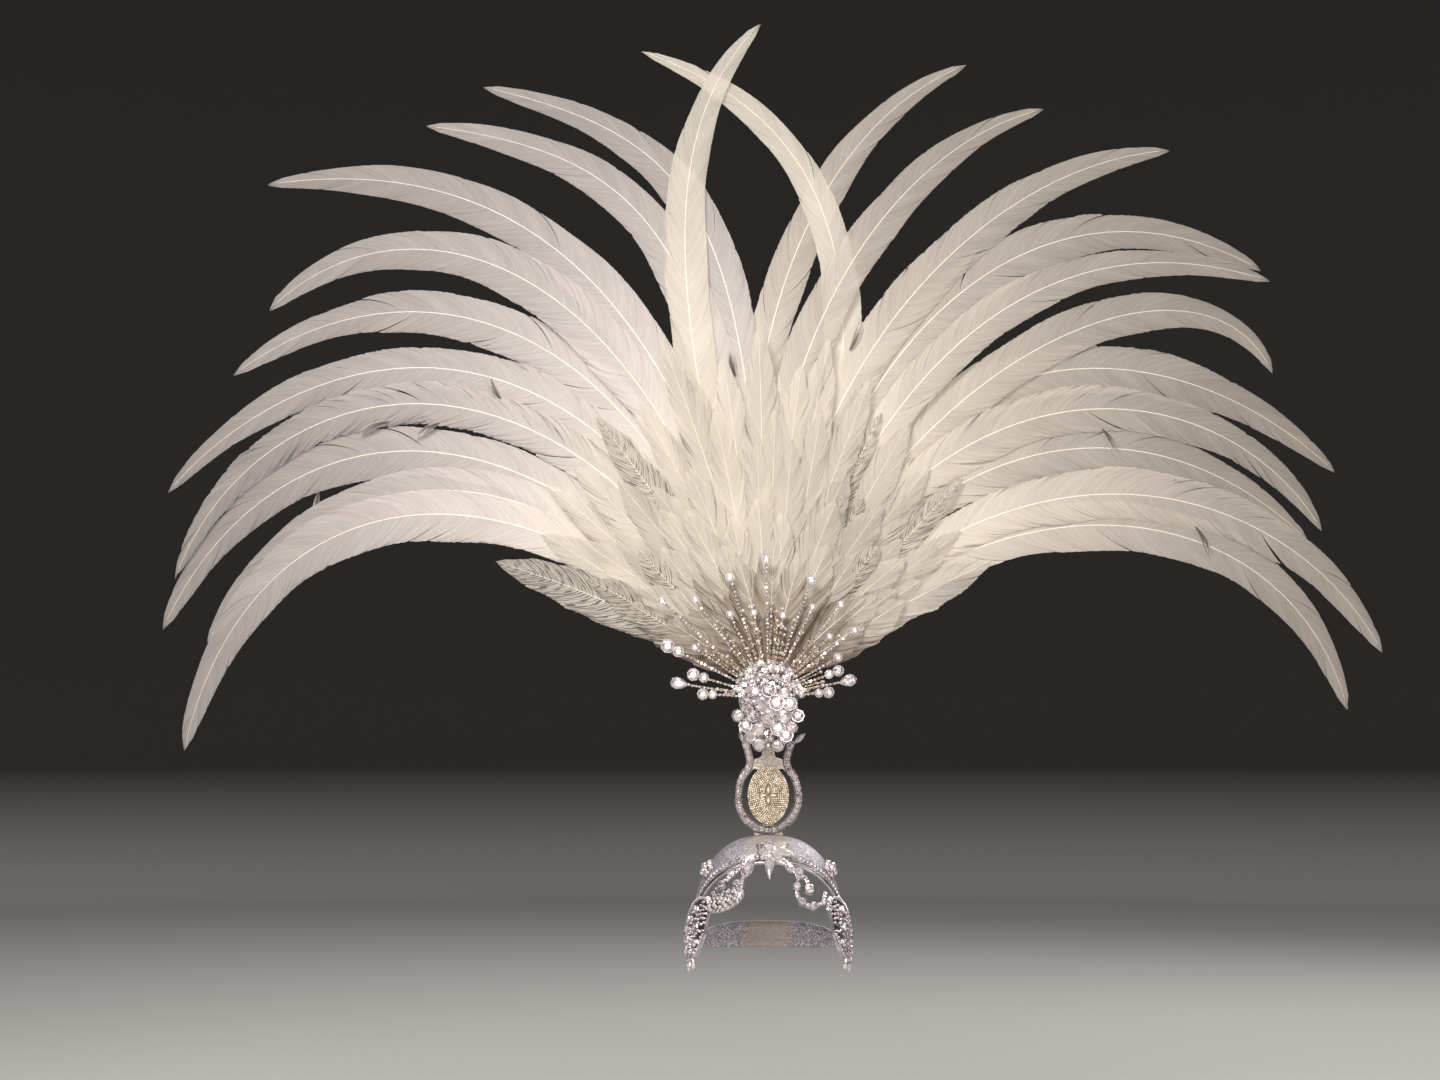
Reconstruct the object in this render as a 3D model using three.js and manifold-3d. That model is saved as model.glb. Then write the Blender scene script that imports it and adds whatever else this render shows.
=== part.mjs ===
// Feathered headdress: a jewelled crown, a stem with a medallion, and a wide fan of feathers over it.
// X runs to the right as seen from the front, Y to the back and Z up, in millimetres.
// The origin is the inner top of the crown, where it sits on the head.

import * as THREE from 'three';
import { mergeVertices } from 'three/addons/utils/BufferGeometryUtils.js';
import Module from 'manifold-3d';

const wasm = await Module();
wasm.setup();

// Clearances: the gap between pieces, how deep a set piece sinks into its plate, and how far the flat facets
// of a curved plate may dip below its curve.
const GAP = 0.3;
const SINK = 0.5;
const FACET_SAG = 1;

// Head and crown
const HEAD_HALF_BREADTH = 84.5;
const HEAD_HALF_DEPTH = 98;
const CROWN_DEPTH = 125;
const CROWN_SQUARENESS = 2.45;
const BAND_THICK = 3;
const BAND_FRONT_TILT = 34.5;
const BAND_BACK_TILT = -23;
const BAND_END_SIDE = 8;
const ARCH_TILT = 38;
const ARCH_WIDTH_TILT = 2.6;
const ARCH_THICK = 4;
const REAR_BAND_TOP_TILT = -79;
const REAR_BAND_LOW_TILT = -93;

// Jewels of the crown
const WING_BAR_WIDTH = 6;
const WING_BAR_THICK = 2.6;
const STONE_RISE = 3;
const FLOWER_DOWN = 0.155;
const FLOWER_PLATE_RADIUS = 8;
const FLOWER_PLATE_THICK = 2;
const FLOWER_POST_RADIUS = 3;
const FLOWER_PETAL_WIDTH = 9.5;
const FLOWER_PETAL_RISE = 4;
const FLOWER_HEART_WIDTH = 13;
const FLOWER_HEART_RISE = 6;
const FLOWER_FACE_TURN = 18;
const SIDE_ROSETTE_RADIUS = 10;
const SIDE_ROSETTE_SIDE = 44;
const SIDE_ROSETTE_TILT = 20;
const SIDE_ROSETTE_THICK = 2;
const SIDE_ROSETTE_PETALS = 5;
const SIDE_ROSETTE_HEART_RISE = 4;
const FLAP_THICK = 2.6;
const FLAP_DROP_LENGTH = 16;
const FLAP_DROP_WIDTH = 6;

// Stem, lyre and medallion
const PLATE_THICK = 3;
const NECK_WIDTH = 14;
const RING_CENTRE_HEIGHT = 48;
const RING_HALF_WIDTH = 34.5;
const RING_HALF_HEIGHT = 40;
const LYRE_BAR = 9;
const STRAP_WIDTH = 12;
const FOOT_WIDTH = 32;
const FOOT_DEPTH = 16;
const FOOT_THICK = 4;
const SHOULDER_TURN = 58;
const LYRE_THICK = 3;
const LYRE_LOW_TURN = -94;
const LYRE_HIGH_TURN = 46;
const LYRE_TURN_STEP = 14;
const LYRE_WAIST_HALF_WIDTH = 21;
const LYRE_TOP_HEIGHT = 106;
const LYRE_TOP_HALF_WIDTH = 25;
const LEFT_LEAF_LEAN = 108;
const RIGHT_LEAF_LEAN = 38;
const LEAF_LENGTH = 19;
const LEAF_WIDTH = 7;
const MEDALLION_HALF_WIDTH = 23.5;
const MEDALLION_HALF_HEIGHT = 33;
const MEDALLION_THICK = 3.5;
const MEDALLION_SCALLOPS = 14;
const MEDALLION_STEPS = 3;
const MEDALLION_SCALLOP_DEPTH = 1.3;
const MEDALLION_HOLE_RADIUS = 1.6;
const MEDALLION_PETAL_LENGTH = 8;
const MEDALLION_PETAL_WIDTH = 4;
const MEDALLION_PETAL_RISE = 2;
const MEDALLION_PETALS = 4;

// Feather holder, rosette and sprays
const HUB_HEIGHT = 159;
const HOLDER_RADIUS = 34;
const HOLDER_SIDES = 36;
const HOLDER_FOOT = 12;
const ROSETTE_PLATE_HALF_WIDTH = 30;
const ROSETTE_PLATE_HALF_HEIGHT = 36;
const ROSETTE_PLATE_THICK = 3;
const ROSETTE_HALF_SIZE = 40;
const ROSETTE_DROP = 16;
const ROSETTE_STONE_RISE = 8;
const SPRAY_REACH = 162;
const SPRAY_WIRE_RADIUS = 1;
const SPRAY_WIRE_SIDES = 5;
const SPRAY_BAR_WIDTH = 4;
const SPRAY_BAR_RADIUS = 31;
const SPRAY_FORWARD = 16;
const SPRAY_STONE_WIDTH = 13;
const SPRAY_STONE_RISE = 5;

// Feathers
const FAN_HALF_WIDTH = 712;
const FAN_HEIGHT = 792;
const FAN_LEAN = 42;
const LAYER_STEP = 3.6;
const FEATHER_LAYERS = 6;
const FEATHER_WIDTH = 58;
const QUILL_THICK = 3;
const FEATHER_TIP_THICK = 1;
const VANE_EDGE_THICK = 0.6;
const PLUME_BAND = 6.2;
const PLUME_FEATHER_WIDTH = 50;
const PLUME_FEATHER_THICK = 2.4;
const PLUME_HEAD_INNER_RADIUS = 6;
const PLUME_LEAD = 0.45;
const PLUME_HOOK = 0.3;
const PLUME_STAGGER = 0.84;

const HUB = new THREE.Vector3(0, 0, HUB_HEIGHT);

// Levels of a cut stone, from its base over the girdle to the table.
const STONE_LEVELS = [
  { height: 0, share: 1 },
  { height: 0.45, share: 1 },
  { height: 1, share: 0.55 },
];

// Section of a chamfered bar, as shares of its width and height.
const BAR_SECTION = [
  { across: -0.5, up: 0 },
  { across: -0.5, up: 0.6 },
  { across: -0.25, up: 1 },
  { across: 0.25, up: 1 },
  { across: 0.5, up: 0.6 },
  { across: 0.5, up: 0 },
];

// Parts of a side rosette, as shares of its radius.
const SIDE_ROSETTE_SHARES = { plate: 0.7, petalLength: 0.95, petalWidth: 0.8, petalPlace: 0.52, heart: 0.9 };

// Long feathers, left to right. across and up place the tip as shares of the fan's half width and height.
// root and heading are the directions of the quill and of the tip in degrees, lead and hook how long each
// holds, as shares of the distance to the tip, broad is the share of the width, and layer counts backward.
const LONG_FEATHERS = [
  { across: -0.943, up: -0.077, root: 134, heading: 258, lead: 0.66, hook: 0.46, broad: 1.00, layer: 0 },
  { across: -0.908, up: 0.080, root: 130, heading: 240, lead: 0.66, hook: 0.38, broad: 0.90, layer: 1 },
  { across: -0.982, up: 0.099, root: 126, heading: 246, lead: 0.68, hook: 0.40, broad: 0.96, layer: 2 },
  { across: -0.961, up: 0.173, root: 117, heading: 250, lead: 0.74, hook: 0.38, broad: 0.85, layer: 0 },
  { across: -0.976, up: 0.299, root: 112, heading: 230, lead: 0.74, hook: 0.32, broad: 0.88, layer: 1 },
  { across: -0.872, up: 0.472, root: 108, heading: 218, lead: 0.74, hook: 0.28, broad: 0.95, layer: 3 },
  { across: -0.812, up: 0.566, root: 104, heading: 226, lead: 0.76, hook: 0.28, broad: 1.00, layer: 0 },
  { across: -0.820, up: 0.755, root: 101, heading: 188, lead: 0.66, hook: 0.28, broad: 0.95, layer: 1 },
  { across: -0.560, up: 0.843, root: 96, heading: 172, lead: 0.70, hook: 0.34, broad: 0.90, layer: 3 },
  { across: -0.467, up: 0.902, root: 92, heading: 166, lead: 0.72, hook: 0.34, broad: 0.85, layer: 4 },
  { across: -0.010, up: 0.995, root: 103, heading: 45, lead: 0.45, hook: 0.28, broad: 0.85, layer: 2 },
  { across: -0.207, up: 0.955, root: 72, heading: 160, lead: 0.60, hook: 0.36, broad: 0.72, layer: 4 },
  { across: 0.329, up: 0.936, root: 99, heading: 22, lead: 0.50, hook: 0.26, broad: 0.80, layer: 5 },
  { across: 0.453, up: 0.865, root: 94, heading: 14, lead: 0.50, hook: 0.26, broad: 0.85, layer: 0 },
  { across: 0.660, up: 0.805, root: 86, heading: 4, lead: 0.50, hook: 0.26, broad: 0.92, layer: 1 },
  { across: 0.808, up: 0.627, root: 80, heading: -30, lead: 0.60, hook: 0.36, broad: 1.00, layer: 2 },
  { across: 0.821, up: 0.610, root: 74, heading: -18, lead: 0.50, hook: 0.38, broad: 0.80, layer: 0 },
  { across: 0.825, up: 0.475, root: 70, heading: -66, lead: 0.60, hook: 0.28, broad: 0.92, layer: 3 },
  { across: 0.927, up: 0.330, root: 73, heading: -44, lead: 0.66, hook: 0.38, broad: 1.00, layer: 5 },
  { across: 0.900, up: 0.243, root: 66, heading: -60, lead: 0.68, hook: 0.34, broad: 0.92, layer: 1 },
  { across: 0.877, up: 0.229, root: 60, heading: -44, lead: 0.58, hook: 0.38, broad: 0.92, layer: 2 },
  { across: 0.996, up: 0.065, root: 51, heading: -62, lead: 0.60, hook: 0.34, broad: 1.00, layer: 0 },
  { across: 0.938, up: -0.018, root: 46, heading: -76, lead: 0.60, hook: 0.38, broad: 0.96, layer: 1 },
];

// Half width of a long feather along its length, as a share of its half width at the widest.
const FEATHER_OUTLINE = [
  { along: 0, half: 0.075 },
  { along: 0.06, half: 0.08 },
  { along: 0.14, half: 0.34 },
  { along: 0.24, half: 0.70 },
  { along: 0.35, half: 0.90 },
  { along: 0.46, half: 1.00 },
  { along: 0.57, half: 1.00 },
  { along: 0.68, half: 0.94 },
  { along: 0.78, half: 0.80 },
  { along: 0.87, half: 0.58 },
  { along: 0.94, half: 0.36 },
  { along: 1, half: 0.07 },
];

// The same for the shorter feathers, which stay full nearly to the tip.
const PLUME_OUTLINE = [
  { along: 0, half: 0.12 },
  { along: 0.20, half: 0.34 },
  { along: 0.45, half: 0.90 },
  { along: 0.70, half: 1.00 },
  { along: 0.88, half: 0.62 },
  { along: 1, half: 0.08 },
];

// Shorter feathers: each plume spreads from one direction to another, with reach at both ends as a share of
// the fan's height. Its feathers bend by bend degrees, and those with a spread turn further from the upright
// by that share. band counts forward from the holder, and head is how far, in degrees, its head plate runs
// past its outer feathers.
const PLUMES = [
  {
    name: 'inner_plume_left', band: 0, count: 6, from: 101, to: 145, head: 6,
    reachFrom: 0.52, reachTo: 0.44, bend: 12, spread: 0,
  },
  {
    name: 'inner_plume_right', band: 0, count: 6, from: 79, to: 38, head: 6,
    reachFrom: 0.50, reachTo: 0.40, bend: -10, spread: 0,
  },
  {
    name: 'inner_plume_centre', band: 1, count: 5, from: 102, to: 76, head: 52,
    reachFrom: 0.55, reachTo: 0.55, bend: 0, spread: 0.5,
  },
  {
    name: 'front_plume_left', band: 2, count: 6, from: 104, to: 142, head: 6,
    reachFrom: 0.36, reachTo: 0.25, bend: 8, spread: 0,
  },
  {
    name: 'front_plume_right', band: 2, count: 6, from: 76, to: 40, head: 6,
    reachFrom: 0.36, reachTo: 0.25, bend: -8, spread: 0,
  },
  {
    name: 'front_plume_centre', band: 3, count: 5, from: 108, to: 72, head: 80,
    reachFrom: 0.30, reachTo: 0.30, bend: 0, spread: 0.5,
  },
];

// Ear flap in the side view: along from the back edge forward, top and low edges below the crown's top,
// as shares of the head's half depth and of the crown's depth.
const FLAP_OUTLINE = [
  { along: -0.24, top: 0.93, low: 1.04 },
  { along: -0.10, top: 0.85, low: 1.09 },
  { along: 0.04, top: 0.76, low: 1.12 },
  { along: 0.20, top: 0.66, low: 1.12 },
  { along: 0.36, top: 0.57, low: 1.10 },
  { along: 0.50, top: 0.51, low: 1.08 },
  { along: 0.62, top: 0.50, low: 1.03 },
  { along: 0.70, top: 0.54, low: 0.95 },
  { along: 0.745, top: 0.62, low: 0.84 },
];

// Stones on an ear flap, placed in the same shares, with radius in millimetres.
const FLAP_STONES = [
  { along: 0.10, down: 0.82, radius: 4.6 },
  { along: 0.10, down: 0.91, radius: 5.4 },
  { along: 0.12, down: 1.01, radius: 5.4 },
  { along: 0.30, down: 0.72, radius: 4.6 },
  { along: 0.34, down: 0.90, radius: 5.0 },
  { along: 0.48, down: 0.63, radius: 4.8 },
  { along: 0.54, down: 0.78, radius: 5.0 },
  { along: 0.60, down: 0.92, radius: 4.8 },
];

// Drops below an ear flap, placed in the same shares.
const FLAP_DROPS = [
  { along: 0.30, down: 1.13 },
  { along: 0.52, down: 1.10 },
];

// Bars and stones of the brow wings in the front view: across as shares of the head's half breadth and
// down as shares of the crown's depth. The left wing is a filled paisley, the right one an open scroll.
const LEFT_WING_BARS = [
  [{ across: -0.09, down: 0.175 }, { across: -0.30, down: 0.25 }, { across: -0.50, down: 0.36 },
    { across: -0.66, down: 0.47 }],
  [{ across: -0.30, down: 0.25 }, { across: -0.33, down: 0.38 }, { across: -0.42, down: 0.52 },
    { across: -0.62, down: 0.56 }, { across: -0.70, down: 0.49 }],
];
const LEFT_WING_STONES = [
  { across: -0.23, down: 0.215, length: 22, width: 9, turn: 214 },
  { across: -0.27, down: 0.30, length: 17, width: 11, turn: 235 },
  { across: -0.47, down: 0.325, length: 10.5, width: 10.5, turn: 0 },
  { across: -0.58, down: 0.42, length: 10.5, width: 10.5, turn: 0 },
  { across: -0.40, down: 0.41, length: 9, width: 9, turn: 0 },
  { across: -0.54, down: 0.55, length: 42, width: 19, turn: 8 },
];
const RIGHT_WING_BARS = [
  [{ across: 0.09, down: 0.175 }, { across: 0.26, down: 0.26 }, { across: 0.35, down: 0.36 },
    { across: 0.345, down: 0.50 }, { across: 0.47, down: 0.59 }, { across: 0.64, down: 0.58 },
    { across: 0.70, down: 0.49 }],
  [{ across: 0.35, down: 0.36 }, { across: 0.44, down: 0.36 }, { across: 0.50, down: 0.44 }],
];
const RIGHT_WING_STONES = [
  { across: 0.24, down: 0.275, length: 14, width: 7.5, turn: 305 },
  { across: 0.365, down: 0.315, length: 10, width: 10, turn: 0 },
  { across: 0.49, down: 0.455, length: 13, width: 13, turn: 0 },
  { across: 0.34, down: 0.43, length: 9, width: 9, turn: 0 },
  { across: 0.40, down: 0.56, length: 9, width: 9, turn: 0 },
  { across: 0.54, down: 0.595, length: 10, width: 10, turn: 0 },
  { across: 0.66, down: 0.57, length: 8, width: 8, turn: 0 },
];

// Petals of the brow flower: turn in degrees from the right, reach in millimetres from its middle.
const FLOWER_PETALS = [
  { turn: 270, reach: 37 },
  { turn: 350, reach: 28 },
  { turn: 312, reach: 26 },
  { turn: 20, reach: 24 },
  { turn: 195, reach: 14 },
  { turn: 232, reach: 15 },
  { turn: 90, reach: 15 },
  { turn: 150, reach: 16 },
];

// Stones of the rosette, as shares of its half size.
const ROSETTE_STONES = [
  { across: -0.27, up: -0.92, size: 0.18 },
  { across: 0.23, up: -0.92, size: 0.18 },
  { across: -0.52, up: -0.70, size: 0.18 },
  { across: 0.50, up: -0.68, size: 0.18 },
  { across: -0.84, up: -0.10, size: 0.17 },
  { across: 0.82, up: -0.14, size: 0.17 },
  { across: -0.66, up: -0.40, size: 0.17 },
  { across: 0.66, up: -0.42, size: 0.17 },
  { across: -0.30, up: -0.50, size: 0.20 },
  { across: 0.26, up: -0.48, size: 0.20 },
  { across: -0.44, up: -0.12, size: 0.21 },
  { across: 0.42, up: -0.12, size: 0.21 },
  { across: 0, up: -0.16, size: 0.26 },
  { across: -0.62, up: 0.22, size: 0.18 },
  { across: 0.60, up: 0.20, size: 0.18 },
  { across: -0.22, up: 0.24, size: 0.22 },
  { across: 0.24, up: 0.24, size: 0.21 },
  { across: -0.40, up: 0.56, size: 0.17 },
  { across: 0.02, up: 0.60, size: 0.19 },
  { across: 0.42, up: 0.54, size: 0.17 },
];

// Rhinestone wires: turn in degrees, reach as a share of the longest, size of the end stone as a share of
// the largest, drop true for a drop-shaped end. from and to bound the bar that the wires stand on.
const SPRAY_ROWS = [
  {
    name: 'spray_row_left', from: 120, to: 178, wires: [
      { turn: 127, reach: 0.85, size: 0.6 },
      { turn: 138, reach: 1.00, size: 0.7 },
      { turn: 146, reach: 0.62, size: 0.6 },
      { turn: 153, reach: 0.77, size: 0.8 },
      { turn: 163, reach: 0.55, size: 1.0 },
      { turn: 171, reach: 0.63, size: 1.0, drop: true },
      { turn: 177, reach: 0.46, size: 0.9 },
    ],
  },
  {
    name: 'spray_row_centre', from: 61, to: 117, wires: [
      { turn: 64, reach: 0.70, size: 0.6 },
      { turn: 70, reach: 0.87, size: 0.7 },
      { turn: 80, reach: 0.58, size: 0.6 },
      { turn: 91, reach: 0.96, size: 0.7 },
      { turn: 100, reach: 0.60, size: 0.6 },
      { turn: 108, reach: 0.88, size: 0.7 },
      { turn: 115, reach: 0.64, size: 0.6 },
    ],
  },
  {
    name: 'spray_row_right', from: 2, to: 58, wires: [
      { turn: 52, reach: 0.82, size: 0.6 },
      { turn: 45, reach: 0.60, size: 0.6 },
      { turn: 38, reach: 0.76, size: 0.7 },
      { turn: 30, reach: 0.56, size: 0.7 },
      { turn: 21, reach: 0.52, size: 0.9 },
      { turn: 12, reach: 0.56, size: 1.0, drop: true },
      { turn: 5, reach: 0.42, size: 0.9 },
    ],
  },
];

const FEATHER_MATERIAL = { color: 0xe9e4dc, roughness: 0.8, metalness: 0 };
const GLITTER_MATERIAL = { color: 0xb9b4bf, roughness: 0.35, metalness: 0.8 };
const SILVER_MATERIAL = { color: 0xc9c4cc, roughness: 0.25, metalness: 0.9 };
const CRYSTAL_MATERIAL = { color: 0xe6dde8, roughness: 0.1, metalness: 0.1 };
const BEAD_MATERIAL = { color: 0xd8c9a8, roughness: 0.4, metalness: 0.2 };

const headdress = new THREE.Group();

function radians(degrees) {
  return degrees * Math.PI / 180;
}

function addPiece(name, geometry, look) {
  const piece = new THREE.Mesh(geometry, new THREE.MeshStandardMaterial(look));
  piece.name = name;
  headdress.add(piece);
}

// Turns the faces outward, whichever way the sections ran.
function outward(positions, faces) {
  const corner = (index) => new THREE.Vector3().fromArray(positions, index * 3);
  let volume = 0;
  for (let face = 0; face < faces.length; face += 3) {
    const [a, b, c] = [corner(faces[face]), corner(faces[face + 1]), corner(faces[face + 2])];
    volume += a.dot(b.cross(c));
  }
  if (volume > 0) {
    return faces;
  }
  return faces.map((_, place) => faces[place - place % 3 + 2 - place % 3]);
}

function surface(positions, faces) {
  const geometry = new THREE.BufferGeometry();
  geometry.setAttribute('position', new THREE.Float32BufferAttribute(positions, 3));
  geometry.setIndex(Array.from(faces));
  return geometry;
}

// Closed body through a row of sections that all have the same even number of points.
function loft(sections) {
  const count = sections[0].length;
  const positions = sections.flat().flatMap((point) => [point.x, point.y, point.z]);
  const faces = [];
  for (let row = 0; row + 1 < sections.length; row += 1) {
    for (let place = 0; place < count; place += 1) {
      const near = row * count + place;
      const next = row * count + (place + 1) % count;
      faces.push(near, next, next + count, near, next + count, near + count);
    }
  }
  const last = (sections.length - 1) * count;
  for (let place = 0; place + 1 < count / 2; place += 1) {
    const [a, b, c, d] = [place, place + 1, count - 2 - place, count - 1 - place];
    faces.push(a, c, b, a, d, c);
    faces.push(last + a, last + b, last + c, last + a, last + c, last + d);
  }
  return surface(positions, outward(positions, faces));
}

function toSolid(geometry) {
  const bare = geometry.clone();
  bare.deleteAttribute('normal');
  bare.deleteAttribute('uv');
  const welded = mergeVertices(bare);
  return new wasm.Manifold(new wasm.Mesh({
    numProp: 3,
    vertProperties: new Float32Array(welded.attributes.position.array),
    triVerts: new Uint32Array(welded.index.array),
  }));
}

function fromSolid(solid) {
  const mesh = solid.getMesh();
  return surface(mesh.vertProperties, mesh.triVerts);
}

function fuse(geometries) {
  return fromSolid(geometries.map(toSolid).reduce((whole, solid) => whole.add(solid)));
}

// Flat plate drawn in the front view, with its back at a depth and its front one thickness before it.
function frontPlate(shape, thickness, back, curveSegments = 12) {
  const plate = new THREE.ExtrudeGeometry(shape, { depth: thickness, bevelEnabled: false, curveSegments });
  plate.rotateX(Math.PI / 2);
  plate.translate(0, back, 0);
  return plate;
}

// Cut stone on its base, with a girdle and a table. pinch draws both ends to points, drop only one.
function cutStone({ length, width, rise, sides = 6, pinch = 0, drop = false }) {
  return loft(STONE_LEVELS.map(({ height, share }) => Array.from({ length: sides }, (_, side) => {
    const turn = 2 * Math.PI * side / sides;
    const end = drop ? Math.min(Math.cos(turn), 0) : Math.cos(turn);
    const waist = 1 - pinch * end * end;
    return new THREE.Vector3(
      share * length / 2 * Math.cos(turn),
      share * width / 2 * Math.sin(turn) * waist,
      rise * height,
    );
  })));
}

// Round plate on its base.
function disc(radius, thick) {
  const plate = new THREE.CylinderGeometry(radius, radius, thick, 12);
  plate.rotateX(Math.PI / 2);
  return plate.translate(0, 0, thick / 2);
}

// Bar of a chamfered section along points, standing out along one direction for each point.
function sweepBar(points, outs, width, height) {
  return loft(points.map((point, index) => {
    const before = points[Math.max(index - 1, 0)];
    const after = points[Math.min(index + 1, points.length - 1)];
    const along = after.clone().sub(before).normalize();
    const side = along.cross(outs[index]).normalize();
    return BAR_SECTION.map(({ across, up }) => point.clone()
      .addScaledVector(side, across * width)
      .addScaledVector(outs[index], up * height));
  }));
}

// Point of the crown's surface, in radians: side turns from the right ear over the top to the left ear,
// tilt leans the arch forward, and rise is the height above the head.
function crownPoint(side, tilt, rise) {
  const power = 2 / CROWN_SQUARENESS;
  const across = Math.sign(Math.cos(side)) * Math.abs(Math.cos(side)) ** power;
  const over = Math.sin(side) ** power;
  return new THREE.Vector3(
    (HEAD_HALF_BREADTH + rise) * across,
    -(HEAD_HALF_DEPTH + rise) * over * Math.sin(tilt),
    -CROWN_DEPTH + (CROWN_DEPTH + rise) * over * Math.cos(tilt),
  );
}

// The side and tilt of the point that a front view shows at these shares of half breadth and depth.
function crownSpot({ across, down }) {
  const side = Math.acos(Math.sign(across) * Math.abs(across) ** (CROWN_SQUARENESS / 2));
  const over = Math.sin(side) ** (2 / CROWN_SQUARENESS);
  return { side, tilt: Math.acos(Math.min((1 - down) / over, 1)) };
}

// Axes of the crown's surface at a point: right, up and out.
function crownAxes(side, tilt, rise) {
  const step = 0.01;
  const right = crownPoint(side - step, tilt, rise).sub(crownPoint(side + step, tilt, rise)).normalize();
  const steep = crownPoint(side, tilt - step, rise).sub(crownPoint(side, tilt + step, rise));
  const out = right.clone().cross(steep).normalize();
  const up = out.clone().cross(right);
  return { right, up, out };
}

// Sets a piece that is made flat, with its base at height zero, onto the crown.
function setOnCrown(geometry, side, tilt, rise) {
  const { right, up, out } = crownAxes(side, tilt, rise);
  const place = new THREE.Matrix4().makeBasis(right, up, out);
  place.setPosition(crownPoint(side, tilt, rise));
  return geometry.applyMatrix4(place);
}

// Strip of the crown's surface between two side angles and two tilts, in degrees.
function crownStrip({ endSide, tilts, inner, outer, sideSteps, tiltSteps }) {
  const sections = [];
  for (let step = 0; step <= sideSteps; step += 1) {
    const side = radians(THREE.MathUtils.lerp(endSide, 180 - endSide, step / sideSteps));
    const shell = (rise) => Array.from({ length: tiltSteps + 1 }, (_, place) => {
      const tilt = radians(THREE.MathUtils.lerp(tilts[0], tilts[1], place / tiltSteps));
      return crownPoint(side, tilt, rise);
    });
    sections.push([...shell(outer), ...shell(inner).reverse()]);
  }
  return loft(sections);
}

function addCrownBands() {
  addPiece('crown_band', crownStrip({
    endSide: BAND_END_SIDE,
    tilts: [BAND_BACK_TILT, BAND_FRONT_TILT],
    inner: 0,
    outer: BAND_THICK,
    sideSteps: 18,
    tiltSteps: 5,
  }), GLITTER_MATERIAL);
  addPiece('middle_arch', crownStrip({
    endSide: BAND_END_SIDE,
    tilts: [ARCH_TILT - ARCH_WIDTH_TILT / 2, ARCH_TILT + ARCH_WIDTH_TILT / 2],
    inner: 0,
    outer: ARCH_THICK,
    sideSteps: 18,
    tiltSteps: 1,
  }), SILVER_MATERIAL);
  addPiece('rear_band', crownStrip({
    endSide: BAND_END_SIDE,
    tilts: [REAR_BAND_TOP_TILT, REAR_BAND_LOW_TILT],
    inner: ARCH_THICK + GAP - BAND_THICK,
    outer: ARCH_THICK + GAP,
    sideSteps: 18,
    tiltSteps: 1,
  }), GLITTER_MATERIAL);
}

// Point of a side piece that covers the ends of the bands, from its place in the side view.
function flapPoint(hand, along, down, rise) {
  const depth = HEAD_HALF_DEPTH + rise;
  const up = Math.max(CROWN_DEPTH * (1 - down), 0) / (CROWN_DEPTH + rise);
  const y = -along * HEAD_HALF_DEPTH;
  const reach = Math.min(Math.hypot(y / depth, up), 1);
  const out = (1 - reach ** CROWN_SQUARENESS) ** (1 / CROWN_SQUARENESS);
  return new THREE.Vector3(hand * (HEAD_HALF_BREADTH + rise) * out, y, -CROWN_DEPTH * down);
}

// Sets a piece that is made flat, with its base at height zero, onto an ear flap.
function setOnFlap(geometry, hand, { along, down }, rise) {
  const step = 0.02;
  const forward = flapPoint(hand, along + step, down, rise).sub(flapPoint(hand, along - step, down, rise));
  const up = flapPoint(hand, along, down - step, rise).sub(flapPoint(hand, along, down + step, rise));
  const out = up.clone().cross(forward).multiplyScalar(hand).normalize();
  const right = up.cross(out).normalize();
  const place = new THREE.Matrix4().makeBasis(right, out.clone().cross(right), out);
  place.setPosition(flapPoint(hand, along, down, rise));
  return geometry.applyMatrix4(place);
}

function addEarFlap(name, hand) {
  const inner = Math.max(BAND_THICK, ARCH_THICK) + GAP + FACET_SAG;
  const outer = inner + FLAP_THICK;
  const downSteps = 3;
  const plate = loft(FLAP_OUTLINE.map(({ along, top, low }) => {
    const shell = (rise) => Array.from({ length: downSteps + 1 }, (_, place) => (
      flapPoint(hand, along, THREE.MathUtils.lerp(top, low, place / downSteps), rise)));
    return [...shell(outer), ...shell(inner).reverse()];
  }));
  const stones = FLAP_STONES.map((stone) => setOnFlap(
    cutStone({ length: stone.radius * 2, width: stone.radius * 2, rise: STONE_RISE }),
    hand, stone, outer - SINK));
  const drops = FLAP_DROPS.map((drop) => {
    const stone = cutStone({
      length: FLAP_DROP_LENGTH,
      width: FLAP_DROP_WIDTH,
      rise: STONE_RISE,
      pinch: 0.5,
    });
    stone.rotateZ(Math.PI / 2);
    return setOnFlap(stone, hand, drop, inner + SINK);
  });
  addPiece(name, fuse([plate, ...stones, ...drops]), SILVER_MATERIAL);
}

// Ornament of bars and stones that lies over the middle arch.
function addBrowWing(name, bars, stones) {
  const base = ARCH_THICK + GAP;
  const swept = bars.map((bar) => {
    const stations = bar.map(({ across, down }) => new THREE.Vector3(across, 0, down));
    const line = new THREE.CatmullRomCurve3(stations);
    const spots = line.getSpacedPoints(2 * bar.length).map(({ x, z }) => crownSpot({ across: x, down: z }));
    const points = spots.map(({ side, tilt }) => crownPoint(side, tilt, base));
    const outs = spots.map(({ side, tilt }) => crownAxes(side, tilt, base).out);
    return sweepBar(points, outs, WING_BAR_WIDTH, WING_BAR_THICK);
  });
  const set = stones.map((stone) => {
    const pinch = stone.length > stone.width ? 0.35 : 0;
    const gem = cutStone({
      length: stone.length,
      width: stone.width,
      rise: STONE_RISE + WING_BAR_THICK,
      pinch,
    });
    gem.rotateZ(radians(stone.turn));
    const { side, tilt } = crownSpot(stone);
    return setOnCrown(gem, side, tilt, base + SINK);
  });
  addPiece(name, fuse([...swept, ...set]), CRYSTAL_MATERIAL);
}

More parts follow.
